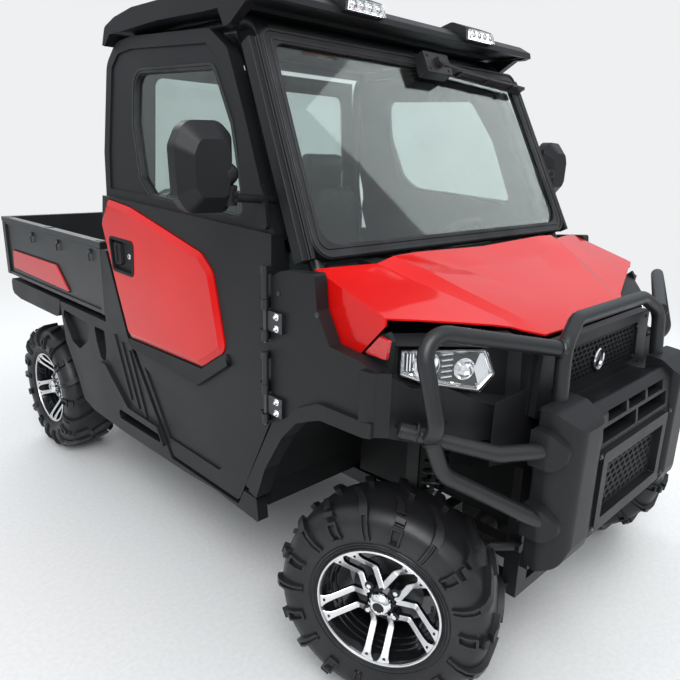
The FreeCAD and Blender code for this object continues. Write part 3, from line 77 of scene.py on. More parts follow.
class Nodes:
    """Builds the nodes of one material, or of the sky, round the shader that it starts with."""

    def __init__(self, name, sky=False):
        self.owner = (bpy.data.worlds if sky else bpy.data.materials).new(name)
        self.owner.use_nodes = True
        self.tree = self.owner.node_tree
        self.shader = self.tree.nodes["Background" if sky else "Principled BSDF"]
        self.output = self.tree.nodes["World Output" if sky else "Material Output"]
        self.coords = self.add("TexCoord").outputs
        self.place = self.coords["Object"]

    def add(self, kind, **sockets):
        """A new node; what isn't a property of the node is one of its inputs."""
        node = self.tree.nodes.new("ShaderNode" + kind)
        for key, value in sockets.items():
            if hasattr(node, key):
                setattr(node, key, value)
            else:
                self.feed(node, key.replace("_", " "), value)
        return node

    def feed(self, node, socket, value):
        """Links a socket to an input, or sets the input's own value."""
        target = node.inputs[socket]
        if isinstance(value, bpy.types.NodeSocket):
            self.tree.links.new(value, target)
        elif hasattr(target.default_value, "__len__") and len(value) == 3 and len(target.default_value) == 4:
            target.default_value = (*value, 1)
        else:
            target.default_value = value

    def noise(self, scale, detail=3.0, rough=0.5, place=None):
        """A cloudy pattern."""
        node = self.add("TexNoise", Vector=place or self.place, Scale=scale, Detail=detail, Roughness=rough)
        return node.outputs["Fac"]

    def cells(self, scale, feature="F1"):
        """Distances in a pattern of cells."""
        return self.add("TexVoronoi", Vector=self.place, feature=feature, Scale=scale).outputs["Distance"]

    def steps(self, value, *stops):
        """A ramp of (position, colour)."""
        node = self.add("ValToRGB", Fac=value)
        ramp = node.color_ramp
        while len(ramp.elements) < len(stops):
            ramp.elements.new(0.5)
        for element, (spot, tone) in zip(ramp.elements, stops):
            element.position = spot
            element.color = (*tone, 1)
        return node.outputs["Color"]

    def shades(self, value, tone, spread, low, high, *more):
        """A tone that runs from darker to lighter by a share, between two positions."""
        dark, pale = (tuple(c * share for c in tone) for share in (1 - spread, 1 + spread))
        return self.steps(value, (low, dark), (high, pale), *more)

    def span(self, value, low, high, start=0.0, end=1.0):
        """Maps start to end onto low to high."""
        node = self.add("MapRange", Value=value, From_Min=start, From_Max=end, To_Min=low, To_Max=high)
        return node.outputs["Result"]

    def maths(self, operation, one, two):
        """The outcome of one operation on two values."""
        node = self.add("Math", operation=operation)
        for index, value in enumerate((one, two)):
            self.feed(node, index, value)
        return node.outputs[0]

    def mixed(self, share, one, two):
        """A colour between two by a share."""
        node = self.add("Mix", data_type="RGBA")
        for index, value in ((0, share), (6, one), (7, two)):
            self.feed(node, index, value)
        return node.outputs[2]

    def beads(self, size, patch, drop, wet, most=1.0):
        """Drops of rain in patches; drop and wet are the spans over which drops and patches rise."""
        rise = self.span(self.cells(size), 1.0, 0.0, *drop)
        return self.maths("MULTIPLY", rise, self.span(self.noise(patch, 2.0), 0.0, most, *wet))

    def bumped(self, *layers):
        """Bumps of (height, strength, distance), each on top of the last."""
        normal = None
        for height, strength, distance in layers:
            node = self.add("Bump", Height=height, Strength=strength, Distance=distance)
            if normal is not None:
                self.feed(node, "Normal", normal)
            normal = node.outputs["Normal"]
        self.feed(self.shader, "Normal", normal)

    def set(self, **sockets):
        """Feeds the shader's own inputs."""
        for key, value in sockets.items():
            self.feed(self.shader, key.replace("_", " "), value)
        return self.owner

    def covered(self, share, other):
        """Puts another shader's output over this one by a share."""
        mix = self.add("MixShader")
        for index, value in enumerate((share, self.shader.outputs[0], other)):
            self.feed(mix, index, value)
        self.feed(self.output, "Surface", mix.outputs[0])
        return self.owner


# Materials

def plastic(name, tone, grain, shine, leather, dust):
    """Moulded plastic: leather grain of a scale and depth, faint dust and an uneven sheen."""
    n = Nodes(name)
    wide = n.noise(3.0, 4.0)
    patches = n.noise(38.0, 5.0, 0.65)
    speck = n.span(patches, 0.0, 0.3, 0.60, 0.8)
    colour = n.mixed(speck, n.shades(wide, tone, 0.2, 0.35, 0.7), tuple(c + dust for c in tone))
    n.bumped((n.cells(grain), leather, 0.0006), (patches, 0.05, 0.002))
    return n.set(Base_Color=colour, Roughness=n.span(wide, shine - 0.06, shine + 0.08, 0.3, 0.7), IOR=1.48,
                 Specular_IOR_Level=0.34)


def gloss(name, tone, rough=0.24, beads=0.5):
    """Moulded colour with a clear coat and drops of rain standing on it."""
    n = Nodes(name)
    wide = n.noise(2.2, 2.0)
    n.bumped((wide, 0.03, 0.02), (n.beads(105.0, 16.0, (0.08, 0.17), (0.54, 0.60)), beads, 0.0014))
    return n.set(Base_Color=n.shades(wide, tone, 0.09, 0.3, 0.7), Roughness=rough, Coat_Weight=0.5,
                 Coat_Roughness=0.06, IOR=1.5, Specular_IOR_Level=0.15)


def metal(name, tone, rough, scale=220.0, marks=0.12):
    """Bare or plated metal with fine scratches and a slightly clouded shine."""
    n = Nodes(name)
    long = n.add("Mapping", Vector=n.place, Scale=(1.0, 1.0, 0.16)).outputs["Vector"]
    cloud = n.noise(9.0, 3.0)
    n.bumped((n.noise(scale, 3.0, 0.6, long), marks, 0.0004))
    return n.set(Base_Color=n.shades(cloud, tone, 0.1, 0.3, 0.7), Metallic=1.0,
                 Roughness=n.span(cloud, rough * 0.8, rough * 1.25, 0.3, 0.7))


def rubber(name, tone, scale, shine):
    """Rubber: dull, finely pitted, with paler scuffs and a trace of dust."""
    n = Nodes(name)
    wide = n.noise(7.0, 5.0, 0.6)
    colour = n.shades(wide, tone, 0.3, 0.35, 0.62, (0.85, tuple(c * 1.7 + 0.004 for c in tone)))
    n.bumped((n.noise(scale, 4.0, 0.6), 0.22, 0.0007), (wide, 0.1, 0.003))
    return n.set(Base_Color=colour, Roughness=n.span(wide, shine + 0.1, shine - 0.12, 0.35, 0.75), IOR=1.5)


def painted(name, tone, wrinkle, shine):
    """Powder-coated tube and sheet: an even pebbled skin."""
    n = Nodes(name)
    wide = n.noise(4.0, 3.0)
    n.bumped((n.cells(wrinkle, "SMOOTH_F1"), 0.35, 0.0009), (wide, 0.05, 0.004))
    return n.set(Base_Color=n.shades(wide, tone, 0.15, 0.35, 0.7), IOR=1.5,
                 Roughness=n.span(wide, shine - 0.05, shine + 0.08))


def glazing(name, tint, water):
    """Thin tinted glass, with a film of fine drops where rain lies on it."""
    n = Nodes(name)
    wide = n.noise(1.6, 2.0)
    n.bumped((wide, 0.015, 0.05), (n.beads(190.0, 11.0, (0.06, 0.15), (0.50, 0.62), water), 0.35, 0.0010))
    colour = n.shades(wide, tint, 0.04, 0.3, 0.7)
    n.set(Base_Color=colour, Roughness=0.02, IOR=1.5, Transmission_Weight=1.0)
    # a thin pane lets its shadow through, tinted
    clear = n.add("BsdfTransparent", Color=colour)
    return n.covered(n.add("LightPath").outputs["Is Shadow Ray"], clear.outputs[0])


def vinyl(name, tone):
    """Seat cover: soft grain with faint folds."""
    n = Nodes(name)
    folds = n.noise(14.0, 3.0)
    n.bumped((n.cells(520.0), 0.3, 0.0007), (folds, 0.12, 0.004))
    return n.set(Base_Color=n.shades(folds, tone, 0.22, 0.3, 0.7), Roughness=n.span(folds, 0.42, 0.6),
                 IOR=1.48, Sheen_Weight=0.1)


def prism(name, tone):
    """Red reflector plastic with its prism cells inside a smooth face."""
    n = Nodes(name)
    inside = n.span(n.cells(230.0, "DISTANCE_TO_EDGE"), 0.0, 1.0, 0.0, 0.3)
    n.bumped((inside, 0.4, 0.0012))
    return n.set(Base_Color=n.shades(inside, tone, 0.35, 0.0, 0.7), Roughness=0.25, Coat_Weight=1.0,
                 Coat_Roughness=0.03, IOR=1.5)


MATERIALS = {name: kind(name, *rest) for name, kind, *rest in (
    ("body_black", plastic, (0.0095, 0.0099, 0.011), 900.0, 0.46, 0.25, 0.011),
    ("inner_black", plastic, (0.007, 0.007, 0.008), 700.0, 0.6, 0.2, 0.006),
    ("interior", plastic, (0.022, 0.023, 0.025), 820.0, 0.55, 0.3, 0.01),
    ("red_gloss", gloss, (0.62, 0.0045, 0.0035)),
    ("badge_red", gloss, (0.55, 0.010, 0.012), 0.3, 0.2),
    ("tyre", rubber, (0.010, 0.010, 0.011), 260.0, 0.42),
    ("seal", rubber, (0.014, 0.014, 0.015), 500.0, 0.45),
    ("bar", painted, (0.013, 0.014, 0.015), 420.0, 0.36),
    ("chassis", painted, (0.012, 0.012, 0.013), 300.0, 0.5),
    ("bed_paint", painted, (0.014, 0.015, 0.016), 500.0, 0.36),
    ("machined", metal, (0.86, 0.86, 0.87), 0.36, 260.0, 0.1),
    ("chrome", metal, (0.88, 0.89, 0.90), 0.06, 120.0, 0.02),
    ("dark_steel", metal, (0.10, 0.10, 0.105), 0.45),
    ("gloss_black", gloss, (0.008, 0.008, 0.009), 0.2, 0.15),
    ("glass", glazing, (0.62, 0.70, 0.68), 1.0),
    ("lens", glazing, (0.97, 0.98, 0.99), 0.6),
    ("vinyl", vinyl, (0.024, 0.024, 0.026)),
    ("reflector_red", prism, (0.52, 0.012, 0.012)),
)}


# Forms

def rounded(points, parts=5):
    """Corners (u, v) or (u, v, radius) as plain points, each radius an arc of a few parts."""
    result = []
    for index, point in enumerate(points):
        here = Vector(point[:2])
        radius = point[2] if len(point) > 2 else 0
        if not radius:
            result.append(here)
            continue
        before = (Vector(points[index - 1][:2]) - here).normalized()
        after = (Vector(points[(index + 1) % len(points)][:2]) - here).normalized()
        half = before.angle(after) / 2
        middle = here + (before + after).normalized() * (radius / math.sin(half))
        start = here + before * (radius / math.tan(half)) - middle
        end = here + after * (radius / math.tan(half)) - middle
        sweep = start.angle_signed(end)
        for step in range(parts + 1):
            turn = -sweep * step / parts
            result.append(middle + Vector((start.x * math.cos(turn) - start.y * math.sin(turn),
                                           start.x * math.sin(turn) + start.y * math.cos(turn))))
    return result


def bent(points, bend, parts=6):
    """A path through points with each corner an arc of the bend radius, shortened where there is no room."""
    spots = [Vector(point) for point in points]
    if not bend:
        return spots
    path = [spots[0]]
    for before, here, after in zip(spots, spots[1:], spots[2:]):
        back = before - here
        ahead = after - here
        room = 0.49 * min(back.length, ahead.length)
        back.normalize()
        ahead.normalize()
        half = back.angle(ahead) / 2
        reach = min(bend / math.tan(half), room)
        radius = reach * math.tan(half)
        middle = here + (back + ahead).normalized() * (radius / math.sin(half))
        start = here + back * reach - middle
        end = here + ahead * reach - middle
        sweep = start.angle(end)
        for step in range(parts + 1):
            share = step / parts
            arc = start * math.sin((1 - share) * sweep) + end * math.sin(share * sweep)
            path.append(middle + arc / math.sin(sweep))
    path.append(spots[-1])
    return path


def inset(points, amount):
    """The outline moved in by an amount, its corners mitred and its radii made smaller."""
    area = sum(p[0] * q[1] - q[0] * p[1] for p, q in zip(points, list(points[1:]) + [points[0]]))
    turn = 1 if area > 0 else -1
    result = []
    for index, point in enumerate(points):
        here = Vector(point[:2])
        run_in = (here - Vector(points[index - 1][:2])).normalized()
        run_out = (Vector(points[(index + 1) % len(points)][:2]) - here).normalized()
        one = Vector((-run_in.y, run_in.x)) * turn
        two = Vector((-run_out.y, run_out.x)) * turn
        step = (one + two) * (amount / (1 + one.dot(two)))
        radius = point[2] if len(point) > 2 else 0
        result.append((*(here + step), max(radius - amount, 1.0)) if radius else (*(here + step),))
    return result


def oblong(low, high, radius=0):
    """The outline of a rectangle between two corners (u, v)."""
    return [(low[0], low[1], radius), (high[0], low[1], radius), (high[0], high[1], radius),
            (low[0], high[1], radius)]


def spot_in(plane, u, v, level):
    """A point of a plane drawing: 'side' is (behind, up), 'across' (across, up), 'flat' (across, behind)."""
    return {"side": (level, u, v), "across": (u, level, v), "flat": (u, v, level)}[plane]


def loop(points, plane, level):
    """An outline with its radii drawn, as points of a plane at a level."""
    return [spot_in(plane, p.x, p.y, level) for p in rounded(points)]


def turned(profile, sides):
    """Loops of points round the X axis, one for each (across, radius)."""
    return [[(x, r * math.sin(TURN * i / sides), r * math.cos(TURN * i / sides)) for i in range(sides)]
            for x, r in profile]


def square_to(run):
    """Two directions at right angles to a run and to each other."""
    one = run.orthogonal().normalized()
    return one, run.cross(one)


def windshield_plane():
    """From a drawing (across, in front of the glass, up the slope) to the row frame."""
    return PARKED @ (Matrix.Translation((0, *GLASS_FOOT)) @ Matrix.Rotation(-GLASS_LEAN, 4, "X"))


class Piece:
    """Gathers forms into one mesh that rides on a body and takes its finishes from its materials; the slot it
    is given is not used.
    """

    def __init__(self, name, body, slot, *materials, place=PARKED):
        self.name = name
        self.body = body
        self.slot = slot
        self.materials = materials
        self.place = place
        self.mesh = bmesh.new()

    def raw(self, points, faces, paint=0):
        """Adds points of the drawing and the faces between them."""
        spots = [self.mesh.verts.new(self.place @ Vector(point)) for point in points]
        for face in faces:
            self.mesh.faces.new([spots[index] for index in face]).material_index = paint
        return self

    def slab(self, points, plane, low, high, paint=0, taper=0.0):
        """An outline given thickness; taper moves the high end's outline in towards its middle by a share."""
        flat = rounded(points)
        middle = sum(flat, Vector((0, 0))) / len(flat)
        drawn = [spot_in(plane, p.x, p.y, low) for p in flat]
        drawn += [spot_in(plane, *(p + (middle - p) * taper), high) for p in flat]
        count = len(flat)
        faces = [tuple(range(count)), tuple(reversed(range(count, 2 * count)))]
        faces += [(i, i + count, (i + 1) % count + count, (i + 1) % count) for i in range(count)]
        return self.raw(drawn, faces, paint)

    def block(self, low, high, paint=0):
        """A box between two corners."""
        return self.slab(oblong(low[1:], high[1:]), "side", low[0], high[0], paint)

    def ring(self, outer, inner, plane, low, high, paint=0):
        """A flat frame between two outlines of the same number of points."""
        return self.hoops([loop(outer, plane, low), loop(outer, plane, high), loop(inner, plane, high),
                           loop(inner, plane, low)], paint, closed=True)

    def hoops(self, sets, paint=0, closed=False, capped=False):
        """Skin over loops of points, one after another."""
        count = len(sets[0])
        faces = []
        for row in range(len(sets) if closed else len(sets) - 1):
            after = (row + 1) % len(sets)
            for i in range(count):
                j = (i + 1) % count
                faces.append((row * count + i, after * count + i, after * count + j, row * count + j))
        if capped:
            faces.append(tuple(range(count)))
            faces.append(tuple(reversed(range((len(sets) - 1) * count, len(sets) * count))))
        return self.raw([p for points in sets for p in points], faces, paint)

    def lathe(self, profile, spot, axis, sides=32, paint=0):
        """Turns (along, radius) round an axis and closes both ends."""
        axis = Vector(axis).normalized()
        one, two = square_to(axis)
        return self.hoops([[Vector(spot) + axis * along + radius * (
            one * math.cos(TURN * i / sides) + two * math.sin(TURN * i / sides)) for i in range(sides)]
            for along, radius in profile], paint, capped=True)

    def rod(self, start, end, radius, sides=16, paint=0):
        """A straight round bar with its ends' edges broken."""
        run = Vector(end) - Vector(start)
        length = run.length
        edge = radius * 0.12
        profile = [(0, radius - edge), (edge, radius), (length - edge, radius), (length, radius - edge)]
        return self.lathe(profile, start, run, sides, paint)

    def tube(self, points, radius, bend=0.0, sides=14, paint=0):
        """A round bar along points, each corner bent by an arc."""
        path = bent(points, bend)
        side = None
        sets = []
        for index, here in enumerate(path):
            before = path[max(index - 1, 0)]
            after = path[min(index + 1, len(path) - 1)]
            run = (after - before).normalized()
            side = run.orthogonal() if side is None else side - run * side.dot(run)
            side.normalize()
            up = run.cross(side)
            sets.append([here + radius * (side * math.cos(TURN * i / sides) + up * math.sin(TURN * i / sides))
                         for i in range(sides)])
        return self.hoops(sets, paint, capped=True)

    def bolt(self, spot, axis, across=13.0, paint=0, domed=False):
        """A hexagon head or a domed nut on its washer."""
        radius = across / math.sqrt(3)
        washer = 1.6
        self.lathe([(0, radius * 1.5), (washer, radius * 1.5)], spot, axis, 20, paint)
        head = [(washer, radius), (across * 0.5, radius), (across * 0.6, radius * 0.85)]
        self.lathe(head, spot, axis, 6, paint)
        if domed:
            height, dome = across * 0.55, radius * 0.8
            rise = [(height + dome * math.sin(a * math.pi / 12), dome * math.cos(a * math.pi / 12))
                    for a in range(6)]
            self.lathe([(height - 1, dome)] + rise + [(height + dome, 0.4)], spot, axis, 16, paint)
        return self

    def doubled(self):
        """Adds the same forms on the vehicle's other side."""
        whole = self.mesh.verts[:] + self.mesh.edges[:] + self.mesh.faces[:]
        made = bmesh.ops.duplicate(self.mesh, geom=whole)["geom"]
        for spot in made:
            if isinstance(spot, bmesh.types.BMVert):
                spot.co.x = -spot.co.x
        faces = [item for item in made if isinstance(item, bmesh.types.BMFace)]
        bmesh.ops.reverse_faces(self.mesh, faces=faces)
        return self

    def done(self, edge=0.0, parts=2, sharp=32.0, replaces=()):
        bmesh.ops.recalc_face_normals(self.mesh, faces=self.mesh.faces[:])
        data = bpy.data.meshes.new(self.name)
        self.mesh.to_mesh(data)
        self.mesh.free()
        for material in self.materials:
            data.materials.append(MATERIALS[material])
        data.shade_smooth()
        data.set_sharp_from_angle(angle=math.radians(sharp))
        item = linked(self.name, data)
        if edge:
            rounding = item.modifiers.new("edge", "BEVEL")
            rounding.width = edge * MM
            rounding.segments = parts
            rounding.limit_method = "ANGLE"
            rounding.angle_limit = math.radians(sharp)
            rounding.harden_normals = True
        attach(item, self.body)
        if replaces:
            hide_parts(*replaces)
        return item


# CAD nodes: materials and rounded edges

# how near corners have to be to count as one, in metres
SAME_PLACE = 0.00002
FINISHES = (
    # material, rounding in mm, nodes
    ("body_black", 9.0, ("front_fenders",)),
    ("body_black", 6.0, ("bumper_guards", "side_panels")),
    ("body_black", 4.0, ("rear_fenders", "bumper", "front_fascia", "roof")),
    ("body_black", 3.0, ("door_left", "door_right", "pillar_covers", "rear_panel")),
    ("body_black", 11.0, ("mirror_left", "mirror_right")),
    ("red_gloss", 1.6, ("hood", "door_insert_left", "door_insert_right")),
    ("inner_black", 2.0, ("cowl", "cab_tub")),
    ("interior", 4.0, ("dashboard",)),
    ("inner_black", 0.0, ("grilles",)),
    ("bar", 0.0, ("bull_bar", "cab_frame")),
    ("chassis", 1.5, ("frame", "front_carrier", "rear_carrier", "hitch_receiver", "suspension_arms",
                      "knuckle_left", "knuckle_right")),
    ("dark_steel", 3.0, ("drive_units", "engine_block", "door_hinges")),
    ("bed_paint", 1.2, ("bed", "tailgate")),
    ("seal", 3.0, ("windshield_seal",)),
    ("seal", 1.5, ("wiper",)),
    ("body_black", 2.0, ("roof_lamps",)),
    ("vinyl", 12.0, ("seats",)),
    ("glass", 0.0, ("windshield", "rear_window", "door_glass_left", "door_glass_right")),
)


def softened(item, width, angle, level):
    """Rounds a CAD node's edges by modifiers alone; its own mesh stays as it is."""
    item.modifiers.new("weld", "WELD").merge_threshold = SAME_PLACE
    flat = item.modifiers.new("flat", "DECIMATE")
    flat.decimate_type = "DISSOLVE"
    flat.angle_limit = math.radians(level)
    edge = item.modifiers.new("edge", "BEVEL")
    edge.width = width * MM
    edge.segments = 3
    edge.limit_method = "ANGLE"
    edge.angle_limit = math.radians(angle)
    item.modifiers.new("shading", "WEIGHTED_NORMAL").keep_sharp = False


def finishes():
    """Gives the CAD nodes their materials and rounded edges."""
    for material, rounding, names in FINISHES:
        for name in names:
            item = frame["nodes"][name]
            item.data.materials.clear()
            item.data.materials.append(MATERIALS[material])
            if rounding:
                softened(item, rounding, 8.0 if material == "red_gloss" else 20.0,
                         0.05 if material in ("red_gloss", "bed_paint") else 1.0)


# Wheels: drawn round the X axis with the outer face towards -X

TYRE_WIDTHS = {"front": 229.0, "rear": 265.0}
RIM_WIDTHS = {"front": 197.0, "rear": 228.0}
LUG_HEIGHT = 17.0
# degrees between two long bars, and from a pocket's middle to its side walls
LUG_PITCH = 40.0
POCKET_HALF = math.degrees(13.5 / 270.0)
TYRE_SIDES = 90
# a bar's section: (share of its half width, share of its height)
BAR = ((-1.0, -1.0), (-0.86, 1.0), (0.86, 1.0), (1.0, -1.0))
GROOVED = ((-1.0, -1.0), (-0.9, 1.0), (-0.35, 1.0), (-0.25, 0.45), (0.25, 0.45), (0.35, 1.0), (0.9, 1.0),
           (1.0, -1.0))
SPOKES = 5
# a spoke's distance from the middle of its pair, and its half width at the hub
SPOKE_SIDE = 26.0
SPOKE_HALF = 9.0
SPOKE_DEEP = 16.0
RIM_LIP = 180.0
RIM_WELL = 163.0
RIM_SIDES = 96


def wheel_places():
    """Each wheel's axle, side, body and place, read from the joints."""
    for joint in frame["joints"]:
        if not joint["name"].startswith("spin_"):
            continue
        axle, side = joint["name"].split("_")[1:]
        turn = (math.pi if side == "left" else 0.0) + (STEER if axle == "front" else 0.0)
        place = Matrix.Translation(joint["pos_m"]) @ Matrix.Rotation(turn, 4, "Z") @ Matrix.Scale(MM, 4)
        yield axle, side, joint["child"], place


class Tread:
    """The tyre's section as a smooth curve from the crown to the bead, measured along its surface."""

    def __init__(self, width, rim_width):
        half = width / 2
        crown = TYRE_RADIUS - LUG_HEIGHT
        corners = [(0, 0), (0, crown), (half * 0.76, crown - 6, 60), (half * 0.985, TYRE_RADIUS - 62, 55),
                   (half * 0.95, 232, 70), (rim_width / 2 - 8, 181)]
        self.spots = rounded(corners, 8)[1:]
        self.lengths = [0.0]
        for before, after in zip(self.spots, self.spots[1:]):
            self.lengths.append(self.lengths[-1] + (after - before).length)

    def at(self, along):
        """(across, radius) and the outward direction at a distance along the surface."""
        along = min(max(along, 0.0), self.lengths[-1] - 0.01)
        index = max(i for i, length in enumerate(self.lengths[:-1]) if length <= along)
        share = (along - self.lengths[index]) / (self.lengths[index + 1] - self.lengths[index])
        here = self.spots[index].lerp(self.spots[index + 1], share)
        run = (self.spots[index + 1] - self.spots[index]).normalized()
        return here, Vector((-run.y, run.x))

    def place(self, side, along, height, degrees):
        """A point over the surface, at a side of the tyre and an angle round it."""
        here, out = self.at(along)
        spot = here + out * height
        angle = math.radians(degrees)
        return (side * spot.x, spot.y * math.sin(angle), spot.y * math.cos(angle))


def tyre_lug(piece, tread, side, middle, stations, section=BAR):
    """A bar laid over the tread: stations (along, shift in degrees, half width in mm, height)."""
    sets = []
    for along, shift, half, height in stations:
        turn = math.degrees(half / tread.at(along)[0].y)
        sets.append([tread.place(side, along, height * rise if rise >= 0 else rise * 3,
                                 middle + side * shift + share * turn) for share, rise in section])
    piece.hoops(sets, capped=True)


def tyre_mesh(name, axle, body, place):
    """Carcass, a pair of ridges round each sidewall, and the tread's bars and blocks."""
    tread = Tread(TYRE_WIDTHS[axle], RIM_WIDTHS[axle])
    piece = Piece("tread_" + name, body, "tyre_rubber", "tyre", place=place)
    bead = RIM_WIDTHS[axle] / 2 - 8
    profile = [(-p.x, p.y) for p in reversed(tread.spots)] + [(p.x, p.y) for p in tread.spots[1:]]
    piece.hoops(turned(profile + [(bead - 8, 176), (-bead + 8, 176)], TYRE_SIDES), closed=True)
    crown = TYRE_WIDTHS[axle] * 0.38
    end = tread.lengths[-1]
    high = LUG_HEIGHT
    # long bar that leans over near the crown, with a groove down the shoulder
    long_bar = [(-8, -9.5, 9, high - 1), (crown * 0.35, -5.5, 11, high - 0.5), (crown * 0.75, -1.5, 13, high),
                (crown, 0, 14, high), (crown + 18, 0.6, 13, high - 0.5)]
    grooved = [(crown + 17, 0.6, 13, high - 2), (crown + 38, 0.9, 12.5, 14), (crown + 62, 1.0, 12, 11),
               (crown + 88, 1.0, 11, 9), (crown + 92, 1.0, 11, 2)]
    # short bar on the crown, square block on the shoulder and a framed pocket below it
    blocks = (
        [(crown * 0.30, -6.5, 9, high - 1), (crown * 0.62, -3.0, 11, high), (crown * 0.9, -1.2, 14, high)],
        [(crown + 3, 0, 15, high - 1), (crown + 14, 0, 15, high - 1), (crown + 28, 0, 15, 13)],
        [(crown + 33, 0, 17, 12), (crown + 39, 0, 17, 11)],
        [(crown + 76, 0, 17, 12), (crown + 82, 0, 17, 11)])
    for side, phase in ((1, 0.0), (-1, LUG_PITCH / 4)):
        for along, rise in ((end - 22, 3.0), (end - 12, 2.4)):
            ridge = ((-3, -1), (-1.6, rise), (1.6, rise), (3, -1))
            piece.hoops([[tread.place(side, along + shift, up, 360 * i / TYRE_SIDES)
                          for i in range(TYRE_SIDES)] for shift, up in ridge], closed=True)
        for number in range(round(360 / LUG_PITCH)):
            middle = number * LUG_PITCH + phase
            tyre_lug(piece, tread, side, middle, long_bar)
            tyre_lug(piece, tread, side, middle, grooved, GROOVED)
            middle += LUG_PITCH / 2
            for stations in blocks:
                tyre_lug(piece, tread, side, middle, stations)
            for turn in (-POCKET_HALF * side, POCKET_HALF * side):
                tyre_lug(piece, tread, side, middle, [
                    (crown + 34, turn, 3.6, 12), (crown + 58, turn, 3.6, 10.5), (crown + 81, turn, 3.6, 9)])
    piece.done(edge=1.2, parts=1, sharp=40, replaces=("tyre_" + name,))


def rim_mesh(name, axle, body, place):
    """Black barrel, bright lip and ten bright-faced spokes in five pairs that dish towards the hub."""
    back = RIM_WIDTHS[axle] / 2
    face = -back
    piece = Piece("wheel_" + name, body, "alloy", "gloss_black", "machined", "chrome", "dark_steel",
                  place=place)

    def centred(profile, sides, paint):
        piece.lathe(profile, (0, 0, 0), (1, 0, 0), sides, paint)

    # barrel with steps inside
    piece.hoops(turned([
        (face + 4, RIM_LIP - 7), (face + 8, RIM_WELL + 6), (face + 30, RIM_WELL + 1),
        (face + 44, RIM_WELL - 1), (face + 46, RIM_WELL - 5), (face + 62, RIM_WELL - 6),
        (face + 64, RIM_WELL - 10), (face + 82, RIM_WELL - 11), (face + 84, RIM_WELL - 15),
        (back - 30, RIM_WELL - 16),
        (back - 14, RIM_WELL + 4), (back, RIM_LIP - 7), (back, RIM_LIP), (back - 14, RIM_LIP),
        (back - 18, RIM_WELL + 10), (face + 18, RIM_WELL + 10)], RIM_SIDES), 0, closed=True)
    piece.hoops(turned([(face + 12, RIM_LIP), (face + 1, RIM_LIP), (face, RIM_LIP - 1.5), (face, RIM_LIP - 5),
                        (face + 4, RIM_LIP - 7), (face + 12, RIM_LIP - 7)], RIM_SIDES), 1, closed=True)
    # spokes: (radius, face level, half width)
    line = [(38, face + 38, 9), (48, face + 42, 9), (86, face + 60, 9), (92, face + 59, 9),
            (140, face + 20, 9.3), (156, face + 9, 12), (166, face + 5, 18), (173, face + 4, 25)]
    for pair in range(SPOKES):
        turn = Matrix.Rotation(TURN * (pair + 0.5) / SPOKES, 3, "X")
        for middle in (-SPOKE_SIDE, SPOKE_SIDE):
            sets = []
            for radius, level, wide in line:
                flare = (wide - SPOKE_HALF) * 0.2
                low, high = middle - wide + flare, middle + wide - flare
                sets.append([turn @ Vector((*p, radius)) for p in (
                    (level + SPOKE_DEEP, low + 1.5), (level + 1.5, low), (level, low + 1.5),
                    (level, high - 1.5), (level + 1.5, high), (level + SPOKE_DEEP, high - 1.5))])
            # each face stands alone, so that the bright front keeps hard edges
            for near, far in zip(sets, sets[1:]):
                for i in range(6):
                    j = (i + 1) % 6
                    piece.raw([near[i], far[i], far[j], near[j]], [(0, 1, 2, 3)], 1 if i in (1, 2, 3) else 0)
            # the hole near each spoke's outer end, as a dark socket: a closed disc in the rim's own gloss
            # black that stands as painted shade for the hole's depth
            piece.lathe([(0, 4.4), (4, 4.4)], turn @ Vector((face + 6.0, middle, 161)), (1, 0, 0), 14, 0)
    # hub, nuts, cap
    centred([(face + 36, 20), (face + 36, 36), (face + 48, 46), (4, 50), (4, 20)], 40, 0)
    for number in range(4):
        angle = math.pi / 4 + math.pi / 2 * number
        spot = (face + 40, 55 * math.cos(angle), 55 * math.sin(angle))
        piece.lathe([(0, 13), (30, 15)], spot, (1, 0, 0), 20, 0)
        piece.lathe([(-4, 0.5), (-4, 7), (8, 9)], spot, (1, 0, 0), 6, 2)
    centred([(face + 12, 15), (face + 9, 17), (face + 10, 21), (face + 15, 27), (face + 22, 33),
             (face + 34, 35), (face + 38, 34)], 40, 2)
    centred([(face + 10.5, 0.5), (face + 10, 8), (face + 10.5, 15.5)], 32, 0)
    for number in range(10):
        cos, sin = math.cos(TURN * number / 10), math.sin(TURN * number / 10)
        piece.lathe([(0, 2.2), (2, 3.6), (12, 4)], (face + 17, 28.5 * cos, 28.5 * sin),
                    (1, -0.35 * cos, -0.35 * sin), 10, 2)
    # brake disc and its carrier, seen between the spokes
    centred([(-2, 40), (-2, 104), (4, 104), (4, 40)], 48, 3)
    # valve
    spot = Matrix.Rotation(TURN / SPOKES, 3, "X") @ Vector((face + 10, 0, 157))
    piece.lathe([(-14, 2.6), (-2, 3.0), (-1, 4.6), (6, 5.0)], spot, (1, 0, 0), 10, 3)
    piece.done(sharp=28, replaces=("rim_" + name,))


def wheels():
    """Tyre and rim of all four wheels."""
    for axle, side, body, place in wheel_places():
        for mesh in (tyre_mesh, rim_mesh):
            mesh("%s_%s" % (axle, side), axle, body, place)


# Front end

# the headlamp's lens: its inner and outer ends from above, and its outline (across, up)
LENS_INNER = (-472.0, -186.0)
LENS_OUTER = (-700.0, -60.0)
LENS_CORNERS = ((0, 986), (-35, 942), (-168, 972), (-228, 1000), (-228, 1066), (-27, 1057))
LAMP_BOWLS = ((-86, 1006, 27), (-190, 1022, 34))


